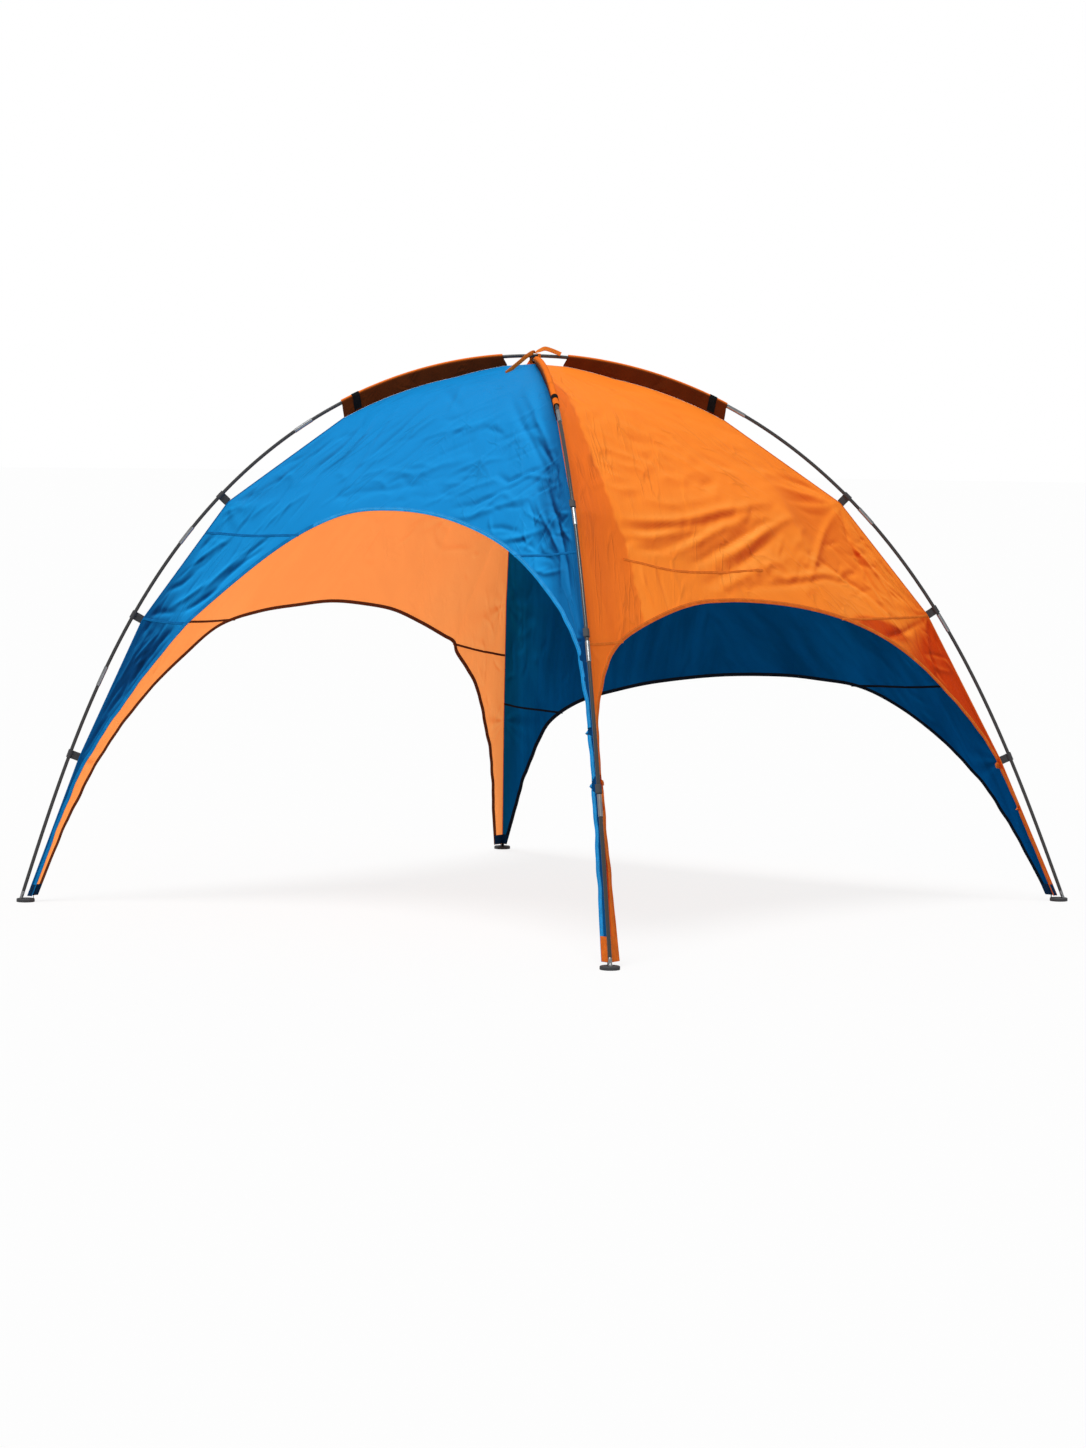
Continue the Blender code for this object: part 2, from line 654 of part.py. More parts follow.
def add_sleeve(arm, root):
    """The cloth tunnel round the pole, sewn along the canopy's ridge, and the webbing band over it."""
    seam = arm.seam()
    outer_radius = SLEEVE_RADIUS + SLEEVE_WALL
    inner_floor = TOUCH_GAP + 3 * SLEEVE_WALL
    inner_half_width = SEAM_HALF_WIDTH / 4
    outer = sleeve_points(arm, seam, outer_radius, SEAM_HALF_WIDTH, TOUCH_GAP)
    inner = sleeve_points(arm, seam, SLEEVE_RADIUS, inner_half_width, inner_floor)
    mesh = skin([*outer, *inner[::-1]], loop=True)
    place(f"sleeve_{arm.name}", mesh, ("cloth_orange",), root)

    edges = seam[-3:-1]
    near, far = outer_radius + TOUCH_GAP, outer_radius + TOUCH_GAP + BAND_THICKNESS
    near_half = SEAM_HALF_WIDTH + TOUCH_GAP * MITRE_SHARE
    far_half = near_half + BAND_THICKNESS * MITRE_SHARE
    ends = []
    for radius, half_width in ((near, near_half), (far, far_half)):
        points = sleeve_points(arm, edges, radius, half_width, TOUCH_GAP)
        points[:, 0] += (points[:, 1] - points[:, 0]) * (1 - BAND_DROP_SHARE)
        points[:, -1] += (points[:, -2] - points[:, -1]) * (1 - BAND_DROP_SHARE)
        ends.append(points)
    mesh = skin(np.concatenate([ends[0], ends[1][:, ::-1]], axis=1))
    place(f"sleeve_band_{arm.name}", mesh, ("webbing_black",), root)


def crossing():
    """The point where the poles touch."""
    shift = -CROSSING_SHIFT / math.sqrt(2)
    return np.array([shift, shift, CROSSING_HEIGHT])


def ridge_under(arm, peak):
    """The ridge: parallel to the sleeve, then straight from clip to clip and down to the foot."""
    seam = arm.seam()
    sewn = arm.pole.placed(arm.sign * seam, 0, -arm.seam_depth(seam))
    drop = CLIP_PIVOT_DROP - CLIP_REACH
    frames = [arm.clip_frame(distance) for distance in arm.clips()]
    knots = [np.array(matrix @ Vector((0, 0, drop))) for matrix in frames]
    corner = arm.foot - arm.outboard * (SOCKET_OUTBOARD + CORNER_INSET)
    corner[2] = CLOTH_BOTTOM
    corner = corner - arm.pole.side * ((corner - arm.foot) @ arm.pole.side)
    points = [peak, *sewn]
    slack = [0] * len(points)
    for knot in [*knots, corner]:
        start = points[-1]
        for step in range(1, CHORD_SPLIT + 1):
            share = step / CHORD_SPLIT
            points.append(start + (knot - start) * share)
            slack.append(math.sin(math.pi * share))
    points = np.array(points)
    outward = arm.sign * unit(np.cross(arm.pole.side, np.gradient(points, axis=0)))
    outward[0] = (0, 0, 1)
    return Ridge(arm, points, outward, np.array(slack))


class PanelSurface:
    """The ruled surface between two ridges: level lines from one to the other, drawn in between them."""

    def __init__(self, panel, left, right):
        self.across = np.array(panel.across, float)
        self.facing = np.array(panel.facing, float)
        self.sides = [self.flattened(ridge.points[::-1]) for ridge in (left, right)]

    def flattened(self, points):
        """Height, place across and place along the facing of each point."""
        return np.stack([points[:, 2], points @ self.across, points @ self.facing])

    def ends(self, height):
        """Where the level line meets the two ridges: left across, right across, left facing, right facing."""
        left, right = self.sides
        return (
            np.interp(height, left[0], left[1]),
            np.interp(height, right[0], right[1]),
            np.interp(height, left[0], left[2]),
            np.interp(height, right[0], right[2]),
        )

    def points(self, across, height):
        """Points of the surface from their places in its front view."""
        left, right, left_facing, right_facing = self.ends(height)
        width = np.maximum(right - left, TOUCH_GAP)
        share = np.clip((across - left) / width, 0, 1)
        facing = left_facing + (right_facing - left_facing) * share
        facing = facing - SAG_SHARE * width / 2 * 4 * share * (1 - share)
        return (
            across[..., None] * self.across
            + facing[..., None] * self.facing
            + height[..., None] * np.array([0, 0, 1])
        )


def arch_line(panel, surface):
    """The panel's lower edge in its front view, from foot to foot: across and height."""
    shares = smooth_line(panel.arch_shares, OUTLINE_SAMPLES)
    height = CLOTH_BOTTOM + np.clip(shares[:, 1], 0, 1) * (panel.arch_top - CLOTH_BOTTOM)
    left, right, _, _ = surface.ends(height)
    across = (left + right) / 2 + shares[:, 0] * (right - left) / 2
    return np.stack([across, height], axis=-1)


def panel_grids(panel, left, right):
    """Outer and inner points of a panel, from the ridge (row 0) to the arch (last row)."""
    surface = PanelSurface(panel, left, right)
    ridge = np.concatenate([left.points[::-1], right.points[1:]])
    outward = np.concatenate([left.outward[::-1], right.outward[1:]])
    slack = np.concatenate([left.slack[::-1], right.slack[1:]])
    start = np.stack([ridge @ surface.across, ridge[:, 2]], axis=-1)
    arch = arch_line(panel, surface)
    wanted, given = arc_shares(ridge), arc_shares(arch)
    end = np.stack([np.interp(wanted, given, axis) for axis in arch.T], axis=-1)

    row = np.linspace(0, 1, CLOTH_ROWS + 1)[:, None, None]
    flat = start + (end - start) * row
    outer = surface.points(flat[..., 0], flat[..., 1])
    along_ridge = unit(np.gradient(start, axis=0))
    depth = np.abs(np.cross(along_ridge, end - start))
    fold = FOLD_SHARE * depth * slack * np.sin(math.pi * row[..., 0])
    along, down = np.gradient(outer, axis=1), np.gradient(outer, axis=0)
    normal = unit(np.cross(down, along)) * np.sign(np.cross(surface.across, (0, 0, 1)) @ surface.facing)
    outer = outer - normal * fold[..., None]

    top = len(left.points) - 1
    columns = np.arange(len(ridge))
    shift = np.zeros_like(ridge)
    for side_ridge, mask in ((left, columns <= top), (right, columns >= top)):
        side = side_ridge.arm.pole.side
        shift[mask] += side * np.sign(side @ surface.facing) * TOUCH_GAP / 2
    outer[0] = ridge + shift
    turned_in = np.clip(depth * row[..., 0] / MITRE_REACH, 0, 1)[..., None]
    inward = -unit(outward * (1 - turned_in) + normal * turned_in)
    return outer, outer + inward * CLOTH_THICKNESS * (MITRE_SHARE + (1 - MITRE_SHARE) * turned_in)


def sheet(outer, inner):
    """Closed sheet through two grids of points, cut into the same triangles on both sides."""
    shape = bmesh.new()
    sides = [[[shape.verts.new(point) for point in row] for row in grid] for grid in (outer, inner)]
    rims = []
    for grid in sides:
        for upper, lower in zip(grid, grid[1:]):
            for i in range(len(upper) - 1):
                shape.faces.new((upper[i], lower[i], lower[i + 1]))
                shape.faces.new((upper[i], lower[i + 1], upper[i + 1]))
        last_side, first_side = [row[-1] for row in grid], [row[0] for row in grid]
        rims.append([*grid[0], *last_side[1:], *grid[-1][-2::-1], *first_side[-2:0:-1]])
    for i in range(len(rims[0])):
        j = (i + 1) % len(rims[0])
        shape.faces.new((rims[0][i], rims[0][j], rims[1][j], rims[1][i]))
    return mesh_of(shape)


def add_panel(panel, ridges, root):
    """A canopy panel as one closed sheet with its arch open at the bottom."""
    outer, inner = panel_grids(panel, ridges[panel.left], ridges[panel.right])
    place(f"canopy_{panel.name}", sheet(outer, inner), (panel.finish,), root)


def tie_line():
    """Centre line and width directions of the tie tape, from the left tail's end to the right tail's end.

    The tape comes up the front panel, crosses over the poles, goes down on the right, under the crossing
    along the canopy's peak, up on the left, over the first layer and out along pole A.
    """
    half = TIE_THICKNESS / 2
    over = POLE_SPACING / 2 + POLE_RADIUS + TOUCH_GAP + half + TIE_EASE / 2
    above = over + TIE_THICKNESS + TIE_EASE
    under = TOUCH_GAP + half - PEAK_DROP
    leg = math.sqrt(2) * (POLE_RADIUS + TOUCH_GAP) + TIE_WIDTH / 2 + TIE_EASE
    bend = TIE_THICKNESS + TIE_EASE / 2
    up, down, rise = (0, 1, 0), (-0.3, 0.2, -1), (-0.1, 0.2, 1)
    tail_sizes = np.array([POLE_DIAMETER, POLE_DIAMETER, PEAK_DROP])
    over_sizes = np.array([POLE_DIAMETER, POLE_DIAMETER, bend])
    tops = np.array(TIE_OVER_SHARES) * over_sizes + (0, 0, over)
    ends = np.array(TIE_BACK_TAIL_SHARES) * over_sizes + (0, 0, above)
    steps = [
        *((share * tail_sizes, down) for share in np.array(TIE_FRONT_TAIL_SHARES)),
        (tops[0], (0, 1, -1)),
        ((leg / 3, *tops[1][1:]), (-1, 3, 0)),
        ((leg - bend, 0, over - bend / 2), up),
        ((leg, 0, over - 2 * bend), up),
        ((leg, 0, under + 2 * bend), up),
        ((leg - bend, 0, under + bend / 2), up),
        ((leg / 2, 0, under), up),
        ((-leg / 2, 0, under), up),
        ((bend - leg, 0, under + bend / 2), up),
        ((-leg, 0, under + 2 * bend), up),
        ((-leg, 0, over - 2 * bend), up),
        ((bend - leg, 0, above - bend / 2), up),
        ((0, 0, above), (-0.2, 1, 0.4)),
        (ends[0], (-0.2, 0.6, 0.8)),
        *((end, rise) for end in ends[1:]),
    ]
    centres, widths = zip(*steps)
    return smooth_line(centres, 3) + crossing(), unit(smooth_line(widths, 3))


def add_tie(root):
    """The tie tape, one flat ribbon."""
    line, width = tie_line()
    along = unit(np.gradient(line, axis=0))
    width = unit(width - np.sum(width * along, axis=1, keepdims=True) * along)
    thick = np.cross(along, width) * TIE_THICKNESS / 2
    width = width * TIE_WIDTH / 2
    corners = (width + thick, width - thick, -width - thick, -width + thick)
    rings = np.stack([line + corner for corner in corners], axis=1)
    place("apex_tie", skin(rings), ("tape_orange",), root)


def build():
    """Build the whole tent."""
    for item in list(bpy.data.objects):
        bpy.data.objects.remove(item, do_unlink=True)
    root = bpy.data.objects.new("beach_tent", None)
    bpy.context.scene.collection.objects.link(root)

    upper = Pole("pole_a", (1, 1), CROSSING_HEIGHT + POLE_SPACING / 2)
    lower = Pole("pole_b", (-1, 1), CROSSING_HEIGHT - POLE_SPACING / 2)
    upper_depth, lower_depth = PEAK_DROP + POLE_SPACING / 2, PEAK_DROP - POLE_SPACING / 2
    crosswise = (CROSSWISE_JOINT_SHARES, CROSSWISE_CLIP_SHARES, LOWER_SLEEVE_START, lower_depth)
    arms = {
        "left": Arm("left", upper, -1, LEFT_JOINT_SHARES, LEFT_CLIP_SHARES, UPPER_SLEEVE_START, upper_depth),
        "right": Arm("right", upper, 1, RIGHT_JOINT_SHARES, RIGHT_CLIP_SHARES, UPPER_SLEEVE_START, upper_depth),
        "front": Arm("front", lower, -1, *crosswise),
        "rear": Arm("rear", lower, 1, *crosswise),
    }
    panels = (
        Panel("front", "left", "front", (1, 0, 0), (0, -1, 0), FRONT_ARCH_TOP, FRONT_ARCH_SHARES, "cloth_blue"),
        Panel("right", "front", "right", (0, 1, 0), (1, 0, 0), RIGHT_ARCH_TOP, RIGHT_ARCH_SHARES, "cloth_orange"),
        Panel("rear", "rear", "right", (1, 0, 0), (0, 1, 0), REAR_ARCH_TOP, REAR_ARCH_SHARES, "cloth_blue"),
        Panel("left", "left", "rear", (0, 1, 0), (-1, 0, 0), LEFT_ARCH_TOP, LEFT_ARCH_SHARES, "cloth_orange"),
    )
    for pole, names in ((upper, ("left", "right")), (lower, ("front", "rear"))):
        pair = [arms[name] for name in names]
        set_stations(pole, pair)
        add_sections(pole, pair, root)
        add_cord(pole, pair, root)
    for arm in arms.values():
        add_tip(arm, root)
        add_sleeve(arm, root)
    add_feet(arms, root)
    add_clips(arms, root)
    peak = lower.at(0) - lower.lean * lower_depth
    ridges = {name: ridge_under(arm, peak) for name, arm in arms.items()}
    for panel in panels:
        add_panel(panel, ridges, root)
    add_tie(root)


build()
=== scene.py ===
"""Looks of a beach tent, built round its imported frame.

Metres, +Z up. The origin is on the ground at the middle of the base, and the front panel faces -Y.
Pole A runs from the left foot (-X -Y) to the right foot (+X +Y) and lies on top at the crossing.
Pole B runs from the front foot (+X -Y) to the rear foot (-X +Y).
Each new piece is a surface worked out with numpy: rings of points carried along a line, or a grid of
places on the cloth. A sheet of cloth is a closed shell with an outer and an inner side.
"""

from __future__ import annotations

import logging
from dataclasses import dataclass
from enum import Enum
from math import asin, ceil, cos, pi, radians, sin, sqrt
from typing import Any, Iterable, Sequence

import bpy
import numpy as np
from mathutils import Matrix, Vector

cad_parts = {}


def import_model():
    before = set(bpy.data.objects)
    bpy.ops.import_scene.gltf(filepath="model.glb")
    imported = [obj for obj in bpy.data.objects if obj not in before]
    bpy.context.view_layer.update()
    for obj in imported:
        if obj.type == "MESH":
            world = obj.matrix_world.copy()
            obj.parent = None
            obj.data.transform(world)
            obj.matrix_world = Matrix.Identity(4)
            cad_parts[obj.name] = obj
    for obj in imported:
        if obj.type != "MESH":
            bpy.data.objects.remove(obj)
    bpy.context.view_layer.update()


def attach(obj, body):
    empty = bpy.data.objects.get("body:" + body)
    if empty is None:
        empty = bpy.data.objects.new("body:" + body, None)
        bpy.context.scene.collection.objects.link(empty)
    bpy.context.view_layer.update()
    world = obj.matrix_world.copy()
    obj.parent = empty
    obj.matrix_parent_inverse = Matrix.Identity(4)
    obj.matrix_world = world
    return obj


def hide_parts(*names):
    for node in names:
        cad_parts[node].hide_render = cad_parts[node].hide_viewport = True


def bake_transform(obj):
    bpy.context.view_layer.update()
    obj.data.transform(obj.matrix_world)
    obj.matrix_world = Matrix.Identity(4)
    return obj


Array = np.ndarray
Mesh = bpy.types.Mesh
Node = bpy.types.Node
Object = bpy.types.Object
Socket = bpy.types.NodeSocket
Pair = tuple[float, float]
Triple = tuple[float, float, float]
LOG = logging.getLogger("beach_tent")
ROOT_BODY = "tent"
UP = np.array([0.0, 0.0, 1.0])
MILLIMETRE = 0.001


def unit(vectors: Array) -> Array:
    """Scale each vector, along the last axis, to a length of one."""
    return vectors / np.linalg.norm(vectors, axis=-1, keepdims=True)


def smooth_step(values: Array, low: float, high: float) -> Array:
    """Rise smoothly from 0 at low to 1 at high."""
    share = np.clip((values - low) / (high - low), 0, 1)
    return share * share * (3 - 2 * share)


def join(*parts: Array | Sequence[float], axis: int = 0) -> Array:
    """Put arrays behind each other."""
    return np.concatenate(parts, axis=axis)


def columns(*parts: Array) -> Array:
    """Put arrays beside each other, as the columns of a new last axis."""
    return np.stack(parts, axis=-1)


def running(steps: Array) -> Array:
    """Running sums along the last axis, from zero."""
    return np.cumsum(join(np.zeros_like(steps[..., :1]), steps, axis=-1), axis=-1)


def arc_lengths(points: Array) -> Array:
    """Distance along a line of points, from its first point."""
    return running(np.linalg.norm(np.diff(points, axis=0), axis=1))


def smooth_line(points: Iterable[Sequence[float]], samples: int) -> Array:
    """Draw a Catmull-Rom curve through points.

    Each span is a cubic in the share t along it: (2 P1 + t (P2 - P0) + t^2 (2 P0 - 5 P1 + 4 P2 - P3)
    + t^3 (3 P1 - P0 - 3 P2 + P3)) / 2.

    Args:
        points: the points to pass through.
        samples: number of samples in each span.

    Returns:
        The samples, with the last point at the end.
    """
    knots = np.asarray(points, float)
    padded = join([2 * knots[0] - knots[1]], knots, [2 * knots[-1] - knots[-2]])
    share = np.linspace(0, 1, samples, endpoint=False)[None, :, None]
    before, first, second, after = (padded[k : len(padded) - 3 + k, None] for k in range(4))
    bend = 2 * before - 5 * first + 4 * second - after
    twist = 3 * first - before - 3 * second + after
    spans = (2 * first + share * (second - before) + share**2 * bend + share**3 * twist) / 2
    return join(spans.reshape(-1, knots.shape[1]), knots[-1:])


def read_line(at: Array | float, stations: Array, line: Array) -> Array:
    """Points of a line at the given places among the stations of its own points."""
    return columns(*(np.interp(at, stations, axis) for axis in line.T))


def along_line(line: Array, shares: Array) -> Array:
    """Points at the given shares of a line's length."""
    lengths = arc_lengths(line)
    return read_line(shares * lengths[-1], lengths, line)


def pairs(*thousandths: float) -> tuple[Pair, ...]:
    """Pairs of numbers from a row of thousandths."""
    parts = [number / 1000 for number in thousandths]
    return tuple(zip(parts[::2], parts[1::2]))


def square_to(vectors: Array, along: Array) -> Array:
    """Unit vectors from the parts of vectors that are square to the unit vectors along."""
    return unit(vectors - np.sum(vectors * along, axis=-1, keepdims=True) * along)


@dataclass
class Skin:
    """A closed surface through rings of points, where each ring is a closed loop.

    The point of ring i at place j is rings[i, j]. Open skins get a ladder of quads over each end, which
    joins place j to place -1 - j, so it fits thin loops and round ones alike.
    """

    rings: Array
    closed: bool = False
    uv: Array | None = None
    slots: Array | None = None
    tone: Array | None = None
    sharp_angle: float = 40.0

    def corners(self) -> tuple[Array, Array]:
        """Ring and place numbers of the four corners of each face: between the rings, then over the ends."""
        rings, places = self.rings.shape[:2]
        i, j = np.divmod(np.arange((rings - 1 + self.closed) * places), places)
        ring_at, place_at = columns(i, i + 1, i + 1, i), columns(j, j, j + 1, j + 1)
        if self.closed:
            return ring_at, place_at
        k = np.arange(places // 2 - 1)
        ladder = columns(k, k + 1, places - 2 - k, places - 1 - k)
        ends = np.repeat([0, rings - 1], len(k))[:, None] + np.zeros((1, 4), int)
        return join(ring_at, ends), join(place_at, ladder, ladder[:, ::-1])

    def metre_uv(self) -> Array:
        """UV in metres: the mean length along the rings, and the length round each ring."""
        loops = join(self.rings, self.rings[:1]) if self.closed else self.rings
        around = running(np.linalg.norm(np.roll(loops, -1, axis=1) - loops, axis=2))
        return columns(np.broadcast_to(arc_lengths(loops.mean(axis=1))[:, None], around.shape), around)

    def mesh(self, name: str) -> Mesh:
        """Build the mesh.

        Args:
            name: name of the mesh.

        Returns:
            A mesh whose faces point outwards, with UV in metres and, where given, a tone attribute.
        """
        rings, places = self.rings.shape[:2]
        ring_at, place_at = self.corners()
        corners = ring_at % rings * places + place_at % places
        points = self.rings.reshape(-1, 3)
        first, second, third, fourth = points[corners].swapaxes(0, 1)
        if np.sum(first * (np.cross(second, third) + np.cross(third, fourth))) < 0:
            corners, ring_at, place_at = corners[:, ::-1], ring_at[:, ::-1], place_at[:, ::-1]
        mesh = bpy.data.meshes.new(name)
        mesh.from_pydata(points.tolist(), [], corners.tolist())
        mesh.shade_smooth()
        if self.slots is not None:
            slots, between = np.zeros(len(corners), np.int32), rings - 1 + self.closed
            slots[: between * places] = np.broadcast_to(self.slots, (between, places)).ravel()
            mesh.polygons.foreach_set("material_index", slots)
        uv = self.metre_uv() if self.uv is None else self.uv
        layer = mesh.uv_layers.new(name="metres")
        layer.uv.foreach_set("vector", uv[ring_at, place_at].astype(np.float32).ravel())
        if self.tone is not None:
            tone = mesh.attributes.new("tone", "FLOAT", "POINT")
            tone.data.foreach_set("value", self.tone.astype(np.float32).ravel())
        mesh.validate()
        mesh.set_sharp_from_angle(angle=radians(self.sharp_angle))
        return mesh


def shell(outer: Array, inner: Array) -> Array:
    """Rings of a closed sheet from its outer and inner grids, whose first axis runs along the sheet."""
    return join(outer, inner[:, ::-1], axis=1)


def carried(line: Array, sideways: Array, upwards: Array, profile: Array) -> Array:
    """Rings of a profile carried along a line: point = line + profile x * sideways + profile y * upwards."""
    across, over = profile[None, :, :1], profile[None, :, 1:]
    return line[:, None] + across * sideways[:, None] + over * upwards[:, None]


def flat_profile(width: float, thickness: float, round_steps: int = 2) -> Array:
    """Outline of a flat strip with rounded edges, centred on the line that it is carried along."""
    half, radius = width / 2, thickness / 2
    turn = np.linspace(-pi / 2, pi / 2, 2 * round_steps + 1)
    edge = columns(half - radius + radius * np.cos(turn), radius * np.sin(turn))
    return join(edge, -edge)


def round_profile(radius: float, sides: int) -> Array:
    """Outline of a round bar."""
    turn = np.arange(sides) * 2 * pi / sides
    return radius * columns(np.sin(turn), np.cos(turn))


def turned(profile: Array, sides: int) -> Array:
    """Rings of a shape turned about the Z axis, from the radius and height of each ring."""
    ring = columns(*round_profile(1.0, sides).T, np.zeros(sides))
    return profile[:, :1, None] * ring + profile[:, 1:2, None] * UP


def frame_matrix(origin: Array, x_axis: Array, z_axis: Array) -> Array:
    """4 x 4 matrix with the given origin, X axis and Z axis."""
    matrix = np.eye(4)
    matrix[:3, 0], matrix[:3, 1], matrix[:3, 2] = x_axis, np.cross(z_axis, x_axis), z_axis
    matrix[:3, 3] = origin
    return matrix


def moved(points: Array, matrix: Array) -> Array:
    """Points carried by a 4 x 4 matrix."""
    return points @ matrix[:3, :3].T + matrix[:3, 3]


def linked(name: str, data: bpy.types.ID) -> Object:
    """Put a new object with this data into the scene."""
    made = bpy.data.objects.new(name, data)
    bpy.context.scene.collection.objects.link(made)
    return made


def add_piece(
    name: str,
    shape: Skin | Mesh,
    finishes: Sequence[Finish],
    node: str | None = None,
    body: str | None = ROOT_BODY,
) -> Object:
    """Put a shape into the scene as a piece of the tent.

    Args:
        name: name of the piece.
        shape: its skin or finished mesh, in the tent's own frame.
        finishes: its finishes, one for each material slot.
        node: CAD node that it stands for.
        body: CAD body that it moves with, or None to leave it on no body.

    Returns:
        The new object.
    """
    mesh = shape.mesh(name) if isinstance(shape, Skin) else shape
    for each in finishes:
        mesh.materials.append(each.material())
    piece = linked(name, mesh)
    if body:
        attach(piece, body)
    if node:
        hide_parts(node)
    LOG.info("%s: %d faces, on %s", name, len(mesh.polygons), body or "two bodies")
    return piece


class NodeBoard:
    """A node tree that is being drawn."""

    def __init__(self, tree: bpy.types.NodeTree) -> None:
        """Start on an emptied tree."""
        self.tree = tree
        tree.nodes.clear()

    def add(self, kind: str, settings: dict[str, Any] | None = None, **inputs: Any) -> Node:
        """Add a node.

        Args:
            kind: type of the node; the words ShaderNode are put before it where it has no Node of its own.
            settings: properties to set on it.
            inputs: a value or a socket to join for each input, by its name with _ for a space, or by
                its number after the letter i.

        Returns:
            The node.
        """
        node = self.tree.nodes.new(kind if kind.startswith("Node") else f"ShaderNode{kind}")
        for key, value in (settings or {}).items():
            setattr(node, key, value)
        for key, value in inputs.items():
            socket = node.inputs[int(key[1:]) if key[1:].isdigit() else key.replace("_", " ")]
            if isinstance(value, Socket):
                self.tree.links.new(value, socket)
            else:
                socket.default_value = value
        return node

    def math(self, operation: str, first: Any, second: Any = 0.0, third: Any = 0.0) -> Socket:
        """Add a sum of the named kind and return its result."""
        return self.add("Math", {"operation": operation}, i0=first, i1=second, i2=third).outputs[0]

    def times(self, first: Any, second: Any, plus: Any = 0.0) -> Socket:
        """Multiply two values, add a third and return the result."""
        return self.math("MULTIPLY_ADD", first, second, plus)

    def minus(self, first: Any, second: Any) -> Socket:
        """Take the second value from the first and return the result."""
        return self.math("SUBTRACT", first, second)

    def scaled(self, place: Socket, factors: Any, plus: Any = (0.0, 0.0, 0.0)) -> Socket:
        """Multiply two vectors part by part, add a third and return the result."""
        return self.add("VectorMath", {"operation": "MULTIPLY_ADD"}, i0=place, i1=factors, i2=plus).outputs[0]

    def blend(self, share: Any, first: Any, second: Any, kind: str = "MIX") -> Socket:
        """Mix two colours and return the result."""
        settings = {"data_type": "RGBA", "blend_type": kind}
        return self.add("Mix", settings, i0=share, i6=first, i7=second).outputs[2]

    def spread(self, value: Any, low: float, high: float) -> Socket:
        """Stretch a value so that low becomes 0 and high becomes 1, smoothly and no further."""
        settings = {"interpolation_type": "SMOOTHSTEP", "clamp": True}
        return self.add("MapRange", settings, Value=value, From_Min=low, From_Max=high).outputs[0]

    def noise(self, place: Socket, scale: Any, detail: float) -> Any:
        """Add a noise texture and return its outputs."""
        return self.add("TexNoise", Vector=place, Scale=scale, Detail=detail).outputs

    def bump(self, height: Socket, strength: float, depth: float, **normal: Socket) -> Socket:
        """Turn a height into a normal, over another normal where one is given."""
        return self.add("Bump", Height=height, Strength=strength, Distance=depth, **normal).outputs[0]

    def effect(self, kind: SharedEffect, **inputs: Any) -> Any:
        """Place a shared effect with its own values and return its outputs."""
        return self.add("Group", {"node_tree": kind.group()}, **inputs).outputs

    def metres(self) -> Socket:
        """Place on the piece's surface, in metres along and across."""
        return self.add("UVMap", {"uv_map": "metres"}).outputs[0]

    def place(self) -> Socket:
        """Place in the tent's own frame."""
        return self.add("TexCoord").outputs["Object"]


